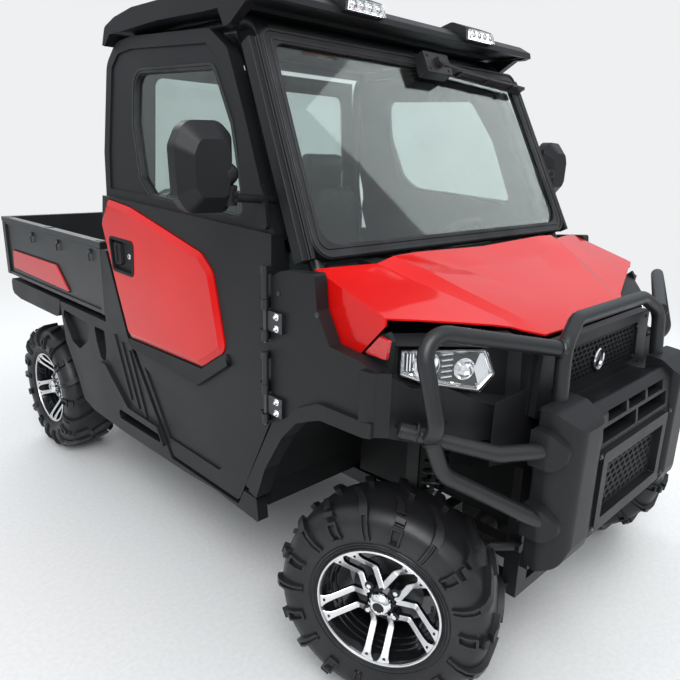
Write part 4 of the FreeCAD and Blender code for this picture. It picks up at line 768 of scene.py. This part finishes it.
def headlamps():
    """Clear six-sided lens over a bright cavity with two bowls, and the red reflector outboard."""
    lean = math.atan2(LENS_OUTER[1] - LENS_INNER[1], LENS_INNER[0] - LENS_OUTER[0])
    place = PARKED @ Matrix.Translation((*LENS_INNER, 0)) @ Matrix.Rotation(-lean, 4, "Z")
    outer = [(x / math.cos(lean), z, 7) for x, z in LENS_CORNERS]

    def edge(amount, level):
        return loop(inset(outer, amount) if amount else outer, "across", level)

    cavity = Piece("headlamp_bowls", "chassis", "lamp_lens", "chrome", "inner_black", "machined", place=place)
    cavity.hoops([edge(1, 2), edge(1, 24), edge(3, 24), edge(3, 4)], 1, closed=True)
    # bright wall of facets round the cavity, then its floor
    cavity.hoops([edge(3.5, 5), edge(7, 7), edge(15, 20), edge(16, 23)])
    cavity.slab(inset(outer, 8), "across", 22, 23.5, 1)
    for u, z, radius in LAMP_BOWLS:
        bowl = [(0, 5), (3, radius * 0.5), (8, radius * 0.8), (15, radius), (15.5, radius + 2),
                (0, radius + 2)]
        cavity.lathe(bowl, (u, 21.5, z), (0, -1, 0), 36)
        cavity.lathe([(0, 8), (12, 8), (14, 9), (15, 6), (16, 0.5)], (u, 21, z), (0, -1, 0), 20, 2)
    # upright ribs at the outer end
    for number in range(6):
        x = -250 + number * 8.0
        cavity.slab([(x, 1008), (x + 4.5, 1006), (x + 4.5, 1056), (x, 1057)], "across", 12, 22)
    # fins between the bowls and the split facets at the inner end
    for number in range(5):
        z = 984 + number * 15
        cavity.slab([(-148, z), (-118, z + 2), (-118, z + 6), (-148, z + 4)], "across", 8, 22, 2)
    cavity.slab([(-14, 984), (-40, 955), (-58, 1004), (-44, 1046), (-22, 1046)], "across", 10, 22, 2,
                taper=0.35)
    cavity.doubled().done(edge=0.6, parts=1)
    lens = Piece("headlamp_lenses", "chassis", "lamp_lens", "lens", place=place)
    lens.hoops([edge(0, 3), edge(0, 0), edge(8, -3), edge(9, -0.5), edge(2.6, 3)], closed=True)
    lens.slab(inset(outer, 8), "across", -3, -0.5)
    lens.doubled().done(sharp=15)
    reflector = Piece("side_reflectors", "chassis", "lamp_lens", "reflector_red")
    reflector.slab([(-51, 1094, 4), (-43, 1043, 4), (32, 1045, 4), (-18, 1099, 4)], "side", -726.5, -738,
                   taper=0.05)
    reflector.doubled().done(edge=1.5, replaces=("lamps",))


def emblem():
    """Bare oval badge on the grille: a bright rim round a dark field."""
    height, narrow, parts = 948, 0.88, 24

    def oval(reach, level):
        return [(reach * narrow * math.cos(a * math.pi / parts), level,
                 height + reach * math.sin(a * math.pi / parts)) for a in range(2 * parts)]

    piece = Piece("grille_badge", "chassis", "grille_mesh", "chrome", "gloss_black")
    piece.hoops([oval(34, -244), oval(35, -250), oval(32, -254), oval(28, -252), oval(27, -247)])
    piece.hoops([oval(27.5, -244), oval(27.5, -248), oval(20, -250), oval(3, -251)], 1, capped=True)
    # two posts that carry it on the mesh
    for x in (-12, 12):
        piece.rod((x, -232, height), (x, -246, height), 4, 10, 1)
    piece.done(sharp=40)


def weld(piece, spot, axis, radius=22, thick=4.0):
    """A weld round a tube: a lumpy ring."""
    axis = Vector(axis).normalized()
    one, two = square_to(axis)
    sets = []
    for turn in range(5):
        angle = TURN * turn / 5
        points = []
        for i in range(32):
            lump = thick * (1 + 0.16 * math.sin(i * 5.1))
            out = radius + lump * math.cos(angle)
            around = TURN * i / 32
            points.append(Vector(spot) + axis * lump * math.sin(angle)
                          + out * (one * math.cos(around) + two * math.sin(around)))
        sets.append(points)
    piece.hoops(sets, closed=True)


def bar_details():
    """Welds at the bull bar's joints and the caps of its side tubes."""
    piece = Piece("bar_welds", "chassis", "bar_paint", "bar")
    for spot, axis in (((-340, -285, 1055), (-390, 167, 82)), ((-712, -130, 879), (-182, 164, 62)),
                       ((-686, -154, 868), (-182, 164, 62)), ((-691, -163, 856), (0.2, -0.3, -1))):
        weld(piece, spot, axis)
    piece.lathe([(-5, 0.5), (-4.5, 12), (-3, 17), (0, 19), (6, 19)], (-742, -104, 884),
                Vector((182, -164, -62)).normalized(), 28)
    piece.doubled().done(sharp=60)


def guard_details():
    """Bolts of the guards, catches of the grille, and plugs in the fender's wrap."""
    piece = Piece("front_bolts", "chassis", "bar_paint", "dark_steel")
    for spot in ((-250, -397, 760), (-250, -401, 540)):
        piece.bolt(spot, (0, -1, 0), 9)
    for x, z in ((-262, 905), (-262, 1008), (-330, 870), (-330, 1030)):
        piece.lathe([(0, 6), (2, 6), (3.2, 4), (3.4, 0.5)], (x, -250, z), (0, -1, 0), 16)
    for spot in ((-770, -2, 905), (-770, 170, 1120), (-770, 330, 1150)):
        piece.lathe([(0, 8), (2, 8), (3.4, 5), (3.6, 0.5)], spot, (-1, 0, 0), 18)
    piece.doubled().done(sharp=40)


# Doors, drawn on the right side and turned over for the left

# outlines (behind, up, radius) of a door's window and latch, and (across, up, radius) of its mirror
DOOR_WINDOW = ((525, 1329, 30), (632, 1604), (750, 1773, 50), (1260, 1790, 50), (1253, 1614),
               (1177, 1420, 60), (1091, 1361, 40))
LATCH = ((1369, 1190, 14), (1183, 1187, 14), (1195, 1066, 14), (1351, 1070, 14))
MIRROR = ((-995, 1530, 40), (-990, 1402, 30), (-962, 1362, 40), (-838, 1360, 30), (-822, 1450, 0),
          (-822, 1560, 30), (-860, 1596, 50), (-965, 1592, 50))
# the mirror glass is the shell's outline made smaller round its middle
MIRROR_SHARE = 0.9
MIRROR_SHIFT = (-90.8, 147.8)
MIRROR_ARM = -842
# the door leans in above the waist
WAIST = 1200.0
LEAN_IN = math.radians(6.6)
SKIN = -BODY_HALF
# middle of each hinge's leaf and the top of its sleeve, and where the pins stand
HINGES = ((816.0, 973.0), (1068.0, 1221.0))
HINGE_PIN = (-783, 373)


def leaned():
    """The place of what lies in a door's upper half, which leans in above the waist."""
    return (PARKED @ Matrix.Translation((SKIN, 0, WAIST)) @ Matrix.Rotation(LEAN_IN, 4, "Y")
            @ Matrix.Translation((BODY_HALF, 0, -WAIST)))


def sided(piece, side, **finish):
    """Turns a right-hand piece over to the left where asked, and makes it."""
    if side == LEFT:
        for spot in piece.mesh.verts:
            spot.co.x = -spot.co.x
    piece.done(**finish)


def door_details(side):
    """Window seal, latch, hinge sleeves, mirror glass and the strip under the red panel of one door."""
    name = SIDE_NAMES[side]
    body = "door_" + name
    window = Piece("window_seal_" + name, body, "rubber_seal", "seal", place=leaned())
    window.ring(DOOR_WINDOW, inset(DOOR_WINDOW, 9), "side", SKIN + 6, SKIN + 30)
    window.ring(inset(DOOR_WINDOW, -7), inset(DOOR_WINDOW, 1), "side", SKIN + 2.5, SKIN + 8)
    sided(window, side, edge=1.5)

    pocket = Piece("latch_pocket_" + name, body, "black_plastic", "inner_black")
    pocket.ring(inset(LATCH, -7), inset(LATCH, 4), "side", SKIN - 17, SKIN - 12)
    pocket.ring(inset(LATCH, 0.5), inset(LATCH, 4), "side", SKIN - 14, SKIN - 0.5)
    pocket.slab(inset(LATCH, 1), "side", SKIN - 2.5, SKIN - 0.8)
    sided(pocket, side, edge=1.2)
    paddle = Piece("latch_paddle_" + name, body, "black_plastic", "inner_black", "chrome")
    paddle.slab([(1350, 1178, 10), (1288, 1177, 10), (1284, 1092, 10), (1338, 1086, 10)], "side",
                SKIN - 2, SKIN - 12, taper=0.08)
    paddle.slab([(1338, 1166, 6), (1318, 1166, 6), (1316, 1102, 6), (1332, 1100, 6)], "side",
                SKIN - 11, SKIN - 15)
    # the key's disc and its slot
    paddle.lathe([(0, 11), (6, 11), (8, 9), (8.4, 0.5)], (SKIN - 2, 1228, 1132), (-1, 0, 0), 24, 1)
    paddle.block((SKIN - 11.5, 1226.5, 1126), (SKIN - 10, 1229.5, 1138))
    sided(paddle, side, edge=1.2)

    rods = Piece("hinge_sleeves_" + name, body, "cast_steel", "bar")
    for middle, top in HINGES:
        for low in (middle - 60, middle + 31):
            rods.lathe([(0, 7.5), (0, 10.6), (29, 10.6), (29, 7.5)], (*HINGE_PIN, low), (0, 0, 1), 24)
        rods.rod((*HINGE_PIN, middle + 60), (*HINGE_PIN, top), 9.5, 20)
        rods.block((-783, 380, top - 26), (-754, 396, top - 6))
    sided(rods, side, sharp=40)

    mirror = Piece("mirror_glass_" + name, body, "glass", "chrome", "inner_black")
    glass = [(x * MIRROR_SHARE + MIRROR_SHIFT[0], z * MIRROR_SHARE + MIRROR_SHIFT[1], radius * MIRROR_SHARE)
             for x, z, radius in MIRROR]
    mirror.slab(inset(glass, 1.5), "across", 492.3, 495)
    # clamp screws and the arm's collar
    for z in (1394, 1411):
        mirror.bolt((MIRROR_ARM, 421, z), (0, -1, 0), 8, 1)
    mirror.lathe([(0, 13), (2, 20), (12, 20), (14, 13)], (MIRROR_ARM, 446, 1420), (0, 0, 1), 24, 1)
    sided(mirror, side, edge=0.5)

    strip = Piece("door_strip_" + name, body, "black_plastic", "body_black")
    near, far, back = SKIN - 6.5, SKIN - 16, SKIN - 2
    strip.hoops([[(near, *top), (far, *foot), (back, foot[0], foot[1] - 6), (back, *top)] for top, foot in (
        ((1278, 800), (1258, 772)), ((757, 814), (776, 752)), ((612, 900), (590, 872)))], capped=True)
    sided(strip, side, edge=2.0)


def hinge_details():
    """Domed nuts of the fixed hinge leaves on the fenders, and the heads of the pins."""
    piece = Piece("hinge_nuts", "chassis", "cast_steel", "chrome")
    pins = Piece("hinge_pin_heads", "chassis", "cast_steel", "dark_steel")
    for middle, _ in HINGES:
        for rise in (-17, 17):
            piece.bolt((-781, 324, middle + rise), (-1, 0, 0), 12, domed=True)
        pins.lathe([(0, 7), (3, 9), (5, 8), (6, 0.5)], (*HINGE_PIN, middle - 60.3), (0, 0, -1), 20)
    piece.doubled().done(sharp=40)
    pins.doubled().done(sharp=40)


# Glass, roof and wiper

def glass_outline(amount):
    """The windshield's outline, moved in by an amount."""
    low, high = max(60 - amount, 8), max(40 - amount, 6)
    top = GLASS_HEIGHT - amount
    return [(-700 + amount, amount, low), (700 - amount, amount, low), (660 - amount, top, high),
            (-660 + amount, top, high)]


def windshield_details():
    """The seal's two ridges, and the wiper's fittings."""
    piece = Piece("seal_ridges", "chassis", "rubber_seal", "seal", place=windshield_plane())
    for amount, wide, rise in ((3, 9, 4), (27, 10, 3)):
        piece.ring(glass_outline(amount), glass_outline(amount + wide), "across", -14.2 - rise, -12)
    piece.done(edge=2.0)
    wiper = Piece("wiper_fittings", "chassis", "rubber_seal", "seal", "dark_steel", place=windshield_plane())
    wiper.lathe([(0, 17), (5, 17), (9, 11), (9.5, 0.5)], (80, -72, 642), (0, -1, 0), 24)
    wiper.tube([(150, -52, 636), (420, -50, 618), (655, -50, 608)], 3.2, 40, 10, 1)
    wiper.slab([(150, 637), (150, 630), (660, 596), (660, 603)], "across", -24, -15)
    for x, z in ((235, 630), (405, 619), (575, 608)):
        wiper.block((x - 14, -54, z - 4), (x + 14, -24, z + 6))
    for x, z in ((30, 618), (30, 666), (132, 618)):
        wiper.bolt((x, -58, z), (0, -1, 0), 8, 1)
    wiper.done(edge=1.0)


def roof_lamp_details():
    """Bright plate with four domes, behind a clear cover on each pod."""
    front = [(-386, 481, 1933), (-226, 481, 1933), (-236, 488.5, 1968), (-374, 488.5, 1968)]

    def moved(amount):
        return [(x, s + amount, z) for x, s, z in front]

    plate = Piece("roof_lamp_plates", "chassis", "lamp_lens", "chrome")
    plate.hoops([front, moved(8)], capped=True)
    for x in range(-362, -253, 36):
        plate.lathe([(0, 13), (4, 12), (8, 8), (10, 0.5)], (x, 484.5, 1950), (0, -1, 0.2), 20)
    plate.doubled().done(sharp=40)
    cover = Piece("roof_lamp_covers", "chassis", "lamp_lens", "lens")
    cover.hoops([moved(-11), moved(-1.5)], capped=True)
    cover.doubled().done(edge=2.5, parts=2, sharp=30)


# Running gear

# a shock's foot and head as (across, up), how far behind its axle it stands, and its coil spring
SHOCK_FOOT = (-415, TYRE_RADIUS - 46)
SHOCK_HEAD = (-345, 723)
SHOCK_BACK = 55
COIL_TURNS = 8.5
COIL_STEPS = 150
COIL_REACH = 32
COIL_WIRE = 6.2


def coil_shocks():
    """Body, rod and coil spring of the four shocks."""
    piece = Piece("coil_shocks", "chassis", "cast_steel", "dark_steel", "bar")
    for station in AXLES:
        foot, head = (Vector((x, station + SHOCK_BACK, z)) for x, z in (SHOCK_FOOT, SHOCK_HEAD))
        run = head - foot
        length = run.length
        run.normalize()
        piece.lathe([(0, 12), (0, 19), (150, 19), (152, 24), (160, 24), (160, 10)], foot, run, 24)
        piece.rod(foot + run * 150, head, 8)
        piece.lathe([(length - 44, 12), (length - 42, 38), (length - 34, 38), (length - 30, 20),
                     (length - 2, 18)], foot, run, 28)
        piece.lathe([(118, 19), (120, 38), (127, 38), (130, 19)], foot, run, 28)
        one, two = square_to(run)
        low, high = 132, length - 48
        path = []
        for step in range(COIL_STEPS + 1):
            share = step / COIL_STEPS
            angle = TURN * COIL_TURNS * share
            path.append(foot + run * (low + (high - low) * share)
                        + COIL_REACH * (one * math.cos(angle) + two * math.sin(angle)))
        piece.tube(path, COIL_WIRE, 0, 8, 1)
    piece.doubled().done(sharp=40, replaces=("shocks",))


def boots():
    """Ribbed boots at both ends of each axle shaft."""
    piece = Piece("shaft_boots", "chassis", "drive_metal", "seal")
    profile = [(0, 15)]
    for rib in range(6):
        wide = 44 - rib * 4
        profile += [(4 + rib * 13, wide - 7), (10 + rib * 13, wide)]
    profile += [(86, 15)]
    for station in AXLES:
        for start, way in ((-112, -1), (-505, 1)):
            piece.lathe(profile, (start, station, TYRE_RADIUS), (way, 0, 0), 28)
    piece.doubled().done(sharp=50)


# Cargo bed

# the bed's outer face across, and where its corner posts end towards the middle
BED_SIDE = -744
BED_FRONT, BED_REAR = 1530, 2672


def bed_details():
    """Hooks, badges, posts and ribs of the bed, the tailgate's pressing, and the tail lamps."""
    hooks = Piece("bed_hooks", "cargo_bed", "bed_paint", "dark_steel")
    for back in (2295, 1967, 1619):
        hook = [(-748, 1104), (-756, 1096), (-756, 1068), (-751, 1062)]
        hooks.tube([(x, back, z) for x, z in hook], 4.5, 8, 10)
        hooks.block((-754, back - 8, 1094), (BED_SIDE, back + 8, 1112))
    # plugs in the front ends of the top rails
    hooks.block((-757.6, 1495.4, 1129.4), (-716.6, 1499, 1155.4))
    hooks.doubled().done(edge=1.0)
    badge = Piece("bed_badges", "cargo_bed", "red_paint", "badge_red", "inner_black")
    outer = [(2618, 887, 14), (1854, 879, 10), (1999, 998, 10), (2599, 994, 18)]
    badge.slab(outer, "side", BED_SIDE, -748, 1)
    badge.slab(inset(outer, 6), "side", -748, -754, taper=0.01)
    badge.doubled().done(edge=1.5)
    posts = Piece("bed_posts", "cargo_bed", "bed_paint", "bed_paint")
    for start, end in ((BED_REAR, 2711), (1498, BED_FRONT)):
        posts.slab(oblong((start, 850), (end, 1128), 3), "side", BED_SIDE, -756)
    for edge, inner in ((1129, 1118), (850, 866)):
        posts.slab(oblong((BED_FRONT, edge), (BED_REAR, inner), 2), "side", BED_SIDE, -753)
    # stake pockets on the rail
    for back in (1530, 2090, 2650):
        posts.block((-748, back - 22, 1153), (-722, back + 22, 1158))
    posts.doubled()
    # ribs pressed in the floor
    for x in range(-600, 601, 150):
        posts.slab(oblong((x - 24, 1560), (x + 24, 2690)), "flat", 867, 872, taper=0.02)
    posts.done(edge=1.5)
    gate = Piece("tailgate_pressing", "bed_tailgate", "bed_paint", "bed_paint", "dark_steel")
    panel = oblong((-690, 900), (690, 1110), 24)
    gate.slab(panel, "across", 2749, 2753, taper=0.01)
    gate.slab(inset(panel, 40), "across", 2752, 2756, taper=0.02)
    for x in (-560, 560):
        gate.slab(oblong((x - 60, 1118), (x + 60, 1146), 8), "across", 2749, 2758, 1)
    gate.done(edge=2.0)
    lamps = Piece("tail_lamps", "chassis", "lamp_lens", "reflector_red", "inner_black")
    lamps.slab(oblong((-757, 756), (-668, 818), 8), "across", 2656, 2666, 1)
    lamps.slab(oblong((-751, 762), (-674, 812), 6), "across", 2664, 2672, taper=0.04)
    lamps.doubled().done(edge=1.5)


# Inner panels and liners, dark sheets that stand as painted shade, and the lit slopes of the side

SHEET = 4
# the cab's pillar tubes: a point in the middle of each and the run from it, as (across, behind, up)
FRONT_PILLAR = ((-672, 223.7, 1068), (72, 406, 823.5))
REAR_PILLAR = ((-600, 1412, 1891.5), (-75, 54, -1061.5))


def on_pillar(pillar, up):
    """Where a pillar tube's middle is, across and behind, at a height."""
    (across, back, level), run = pillar
    share = (up - level) / run[2]
    return across + run[0] * share, back + run[1] * share


def liners():
    """Near-black panels that keep daylight out of the front arches, the pillars and the gap behind the doors:
    liners, and dark sheets that stand as painted shade for the shaded parts behind them.
    """
    piece = Piece("inner_liners", "chassis", "black_plastic", "inner_black")
    # between the uprights, above the shafts
    piece.slab(oblong((-224, 430), (224, 800)), "side", -238, -234)
    # over the wheel, from the fascia's foot to the bulkhead, and down behind the wheel
    arch = [(-136, 872), (-30, 872), (150, 866), (246, 826), (330, 742), (402, 610), (446, 500)]
    piece.hoops([loop(oblong((-722, up), (-300, up + SHEET)), "across", back) for back, up in arch],
                capped=True)
    # behind the guard, a dark sheet as painted shade where the frame lies in shadow
    piece.slab([(-262, 520), (-345, 520), (-345, 690), (-440, 740), (-525, 760), (-525, 935), (-262, 935)],
               "across", -228, -224)
    # the splash panel on the inner side of the front arch
    piece.slab([(-30, 600), (120, 570), (160, 420), (446, 405), (446, 866), (-30, 872)], "side", -292, -288)
    # trim behind each front pillar tube, in the line of the tube
    rows = []
    for up in (1240, 1400, 1560, 1720, 1885):
        across, back = on_pillar(FRONT_PILLAR, up)
        rows.append([(across - 2, back + 18, up), (across - 2, back + 122, up), (across + 2, back + 122, up),
                     (across + 2, back + 18, up)])
    piece.hoops(rows, capped=True)
    # flange from each rear pillar tube out to the door's inner face
    rows = []
    for up in (900, 1060, 1200, 1360, 1520, 1680, 1840):
        across, back = on_pillar(REAR_PILLAR, up)
        door = SKIN + max(0.0, up - WAIST) * math.tan(LEAN_IN) + (64 if up > 1300 else 46)
        rows.append(loop(oblong((across - 16, back + 2), (door, back + 6)), "flat", up))
    piece.hoops(rows, capped=True)
    # over the side panel's rear end, under the bed, a dark sheet as painted shade that closes the gap
    piece.slab(oblong((1502, 800), (1985, 838)), "side", -716, -700)
    piece.doubled()
    # the radiator's shroud behind the grille
    piece.slab(oblong((-238, 470), (238, 1020), 10), "across", -216, -210)
    piece.done(edge=1.0)


def side_forms():
    """The lit chamfer round the moulded step."""
    step = Piece("step_slopes", "chassis", "black_plastic", "body_black")
    outer = [(1548, 640), (1500, 560), (1400, 478), (1060, 470)]
    inner = [(1492, 660), (1452, 590), (1372, 512), (1084, 502)]
    high, low, back = SKIN - 19.5, SKIN - 5.5, SKIN - 2
    step.hoops([[(high, *o), (low, *i), (back, *i), (back, *o)] for o, i in zip(outer, inner)], capped=True)
    step.doubled().done(edge=2.0)


# Seats

SEAT_GRID = 0.011
# how far the cover may swell, and how near the bottom and the back it is held, in metres
SEAT_SWELL = 0.014
SEAT_HELD = 0.012
SEAT_PRESSURE = 4.0
SEAT_TENSION = 18.0
SEAT_FRAMES = 20
SEAT_MIDDLE = -330


def shown_mesh(item):
    """A mesh of what an object shows with its modifiers."""
    return bpy.data.meshes.new_from_object(item.evaluated_get(bpy.context.evaluated_depsgraph_get()))


def puffed(item):
    """Swells a cover under its stuffing's pressure, held where it is stitched down below and behind."""
    item.data = shown_mesh(item)
    item.modifiers.clear()
    rest = [vertex.co.copy() for vertex in item.data.vertices]
    held = item.vertex_groups.new(name="held")
    low = min(spot.z for spot in rest)
    rear = max(spot.y for spot in rest)
    stitched = [i for i, spot in enumerate(rest) if spot.z < low + SEAT_HELD or spot.y > rear - SEAT_HELD]
    held.add(stitched, 1.0, "ADD")
    cloth = item.modifiers.new("cloth", "CLOTH")
    cloth.settings.use_pressure = True
    cloth.settings.uniform_pressure_force = SEAT_PRESSURE
    cloth.settings.effector_weights.gravity = 0.0
    cloth.settings.vertex_group_mass = "held"
    cloth.settings.tension_stiffness = SEAT_TENSION
    cloth.point_cache.frame_start, cloth.point_cache.frame_end = 1, SEAT_FRAMES
    for number in range(1, SEAT_FRAMES + 1):
        bpy.context.scene.frame_set(number)
    data = shown_mesh(item)
    bpy.context.scene.frame_set(1)
    item.modifiers.clear()
    for vertex, start in zip(data.vertices, rest):
        move = vertex.co - start
        if move.length > SEAT_SWELL:
            vertex.co = start + move.normalized() * SEAT_SWELL
    item.data = data
    item.data.materials.clear()
    item.data.materials.append(MATERIALS["vinyl"])


def seats():
    """Cushion and back of each seat, puffed out of their CAD blocks as stuffed covers, with piping."""
    whole = bmesh.new()
    whole.from_mesh(frame["nodes"]["seats"].data)
    bmesh.ops.remove_doubles(whole, verts=whole.verts[:], dist=SAME_PLACE)
    bmesh.ops.bisect_plane(whole, geom=whole.verts[:] + whole.edges[:] + whole.faces[:], plane_co=(0, 0, 0),
                           plane_no=(1, 0, 0), clear_outer=True)
    data = bpy.data.meshes.new("seat_right")
    whole.to_mesh(data)
    whole.free()
    data.materials.append(MATERIALS["vinyl"])
    item = linked("seat_right", data)
    grid = item.modifiers.new("grid", "REMESH")
    grid.mode = "VOXEL"
    grid.voxel_size = SEAT_GRID
    puffed(item)
    item.data.shade_smooth()
    mirrored = item.data.copy()
    mirrored.transform(Matrix.Scale(-1, 4, (1, 0, 0)))
    mirrored.flip_normals()
    for seat in (item, linked("seat_left", mirrored)):
        smooth = seat.modifiers.new("smooth", "SUBSURF")
        smooth.levels = smooth.render_levels = 1
        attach(seat, "chassis")
        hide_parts("seats")
    piping = Piece("seat_piping", "chassis", "seat_vinyl", "seal")
    # round the cushion and over the back: half of each run, as (from the seat's middle, behind, up)
    for half in (((262, 1300, 812), (268, 1030, 812), (230, 1000, 806)),
                 ((262, 1304, 860), (224, 1330, 1310), (190, 1342, 1352))):
        path = [(SEAT_MIDDLE - reach, back, up) for reach, back, up in half]
        path += [(SEAT_MIDDLE + reach, back, up) for reach, back, up in reversed(half)]
        piping.tube(path, 3.5, 40, 8)
    piping.doubled().done()


# Cab inside

# the steering wheel's hub, its lean, and the radius of its rim
HUB = (330, 600, 1150)
WHEEL_LEAN = math.radians(-45)
WHEEL_REACH = 180


def steering_wheel():
    """Rim with four thicker grips, three spokes and a padded hub."""
    place = PARKED @ Matrix.Translation(HUB) @ Matrix.Rotation(WHEEL_LEAN, 4, "X")
    piece = Piece("wheel_rim", "hand_wheel", "dark_plastic", "interior", "inner_black", place=place)
    steps = 72
    sets = []
    for i in range(steps):
        angle = TURN * i / steps
        grip = 14 + 1.5 * max(0.0, math.cos(2 * angle)) ** 4
        section = [(WHEEL_REACH + grip * math.cos(a * math.pi / 6), grip * math.sin(a * math.pi / 6))
                   for a in range(12)]
        sets.append([(reach * math.cos(angle), reach * math.sin(angle), rise) for reach, rise in section])
    piece.hoops(sets, closed=True)
    piece.slab([(-60, -50, 30), (60, -50, 30), (64, 40, 30), (-64, 40, 30)], "flat", -6, 20, 1, taper=0.2)
    for angle in (0, math.pi, -math.pi / 2):
        run = Vector((math.cos(angle), math.sin(angle), 0))
        out = Vector((-run.y, run.x, 0))
        piece.hoops([[tuple(run * reach + out * half * w + Vector((0, 0, level + h)))
                      for w, h in ((-1, -5), (1, -5), (1, 5), (-1, 5))]
                     for reach, half, level in ((30, 22, 4), (110, 15, 0), (174, 17, -2))], 1, capped=True)
    piece.lathe([(-12, 45), (4, 40), (6, 30)], (0, 0, 0), (0, 0, 1), 32, 1)
    piece.done(edge=2.0, replaces=("steering_wheel",))


def dash_details():
    """Instrument hood, vents, switches, gear lever and pedals."""
    piece = Piece("dash_fittings", "chassis", "dark_plastic", "inner_black", "interior", "gloss_black")
    # instrument hood with its dark face
    piece.slab([(440, 1150, 20), (548, 1122, 14), (538, 1168, 14), (480, 1192, 30), (430, 1180, 20)], "side",
               200, 460, 1)
    piece.slab(oblong((214, 1126), (446, 1160), 10), "across", 544, 551, 2)
    # vents and a switch row
    for x in (-520, -150, 90):
        piece.slab(oblong((x - 60, 1060), (x + 60, 1100), 10), "across", 556, 572)
        for z in (1066, 1076, 1086):
            piece.block((x - 52, 570, z), (x + 52, 575, z + 4), 1)
    for number in range(4):
        x = -60 + number * 34
        piece.slab(oblong((x - 13, 1000), (x + 13, 1036), 4), "across", 566, 576, taper=0.1)
    # gear lever in its gate
    piece.slab(oblong((20, 940), (110, 990), 12), "across", 545, 566)
    piece.tube([(65, 556, 960), (65, 610, 990), (65, 640, 1060)], 7, 30, 12)
    piece.lathe([(-20, 10), (-14, 18), (10, 20), (20, 12), (22, 0.5)], (65, 645, 1072), (0, 0.4, 1), 20)
    piece.done(edge=2.0)
    pedals = Piece("pedals", "chassis", "dark_plastic", "seal", "dark_steel")
    for x in (270, 400):
        pedals.slab([(x - 32, 560), (x + 32, 560), (x + 28, 470), (x - 28, 470)], "across", 500, 512)
        pedals.tube([(x, 506, 540), (x, 470, 640), (x, 430, 700)], 8, 40, 10, 1)
    pedals.done(edge=2.0)


# Camera, light and floor

BACKGROUND = (0.86, 0.87, 0.88)
# half of the floor's width in metres, and where it fades to the background
FLOOR_HALF = 14
FADE = (2.6, 6.5)
# name, place, width in metres, power in watts
PANELS = (
    ("key_panel", (-3.5, -3.5, 5.0), 3.5, 260),
    ("fill_panel", (4.5, -2.0, 4.0), 3.0, 120),
    ("back_panel", (0.5, 5.0, 4.5), 3.0, 120),
)
AIM = Vector((0, 0, 0.8))


def camera():
    """The photograph's viewpoint, fitted to the wheels and the body's edges."""
    spot = Vector((-1.830, -2.1715, 1.519))
    yaw, pitch, roll = (math.radians(angle) for angle in (44.4, 16.4, 1.6))
    ahead = Vector((math.sin(yaw) * math.cos(pitch), math.cos(yaw) * math.cos(pitch), -math.sin(pitch)))
    level = Vector((math.cos(yaw), -math.sin(yaw), 0))
    over = level.cross(ahead)
    right = math.cos(roll) * level + math.sin(roll) * over
    up = math.cos(roll) * over - math.sin(roll) * level
    data = bpy.data.cameras.new("camera")
    data.lens = 33.34
    data.sensor_width = 36
    data.clip_start = 0.05
    item = linked("camera", data)
    item.matrix_world = Matrix.Translation(spot) @ Matrix((right, up, -ahead)).transposed().to_4x4()
    bpy.context.scene.camera = item


def lights():
    """Soft panels over the vehicle under an overcast sky."""
    for name, spot, wide, power in PANELS:
        data = bpy.data.lights.new(name, "AREA")
        data.energy = power
        data.size = wide
        item = linked(name, data)
        item.visible_glossy = name != "fill_panel"
        item.location = spot
        item.rotation_euler = (AIM - Vector(spot)).to_track_quat("-Z", "Y").to_euler()
    # the sky is bright overhead and dim at the horizon, where hedges and buildings stand
    n = Nodes("sky", sky=True)
    height = n.add("SeparateXYZ", Vector=n.coords["Generated"]).outputs["Z"]
    n.set(Color=n.steps(height, (0.02, (0.30, 0.33, 0.34)), (0.45, (0.86, 0.91, 0.97))), Strength=0.95)
    # the camera sees a plain background, through glass too
    ray = n.add("LightPath").outputs
    seen = n.maths("MAXIMUM", ray["Is Camera Ray"], ray["Is Transmission Ray"])
    n.covered(seen, n.add("Background", Color=BACKGROUND).outputs[0])
    bpy.context.scene.world = n.owner


def floor():
    """A plain pale floor, with a fine unevenness."""
    mesh = bpy.data.meshes.new("floor")
    corners = oblong((-FLOOR_HALF, -FLOOR_HALF), (FLOOR_HALF, FLOOR_HALF))
    mesh.from_pydata(loop(corners, "flat", 0), [], [(0, 1, 2, 3)])
    item = linked("floor", mesh)
    n = Nodes("floor_pale")
    fine = n.noise(60.0, 4.0)
    n.bumped((fine, 0.08, 0.002))
    n.set(Base_Color=n.steps(fine, (0.3, (0.70, 0.70, 0.69)), (0.7, (0.76, 0.76, 0.75))), Roughness=0.7)
    # far from the vehicle the floor shows as the pale background
    reach = n.add("VectorMath", operation="LENGTH")
    n.feed(reach, 0, n.place)
    share = n.maths("MULTIPLY", n.span(reach.outputs["Value"], 0.0, 1.0, *FADE),
                    n.add("LightPath").outputs["Is Camera Ray"])
    glow = n.add("Emission", Color=BACKGROUND, Strength=1.0)
    mesh.materials.append(n.covered(share, glow.outputs[0]))


camera()
lights()
floor()
finishes()
wheels()
headlamps()
emblem()
bar_details()
guard_details()
for door_side in (RIGHT, LEFT):
    door_details(door_side)
hinge_details()
windshield_details()
roof_lamp_details()
coil_shocks()
boots()
liners()
side_forms()
bed_details()
seats()
steering_wheel()
dash_details()

bpy.context.scene.view_settings.view_transform = "Standard"
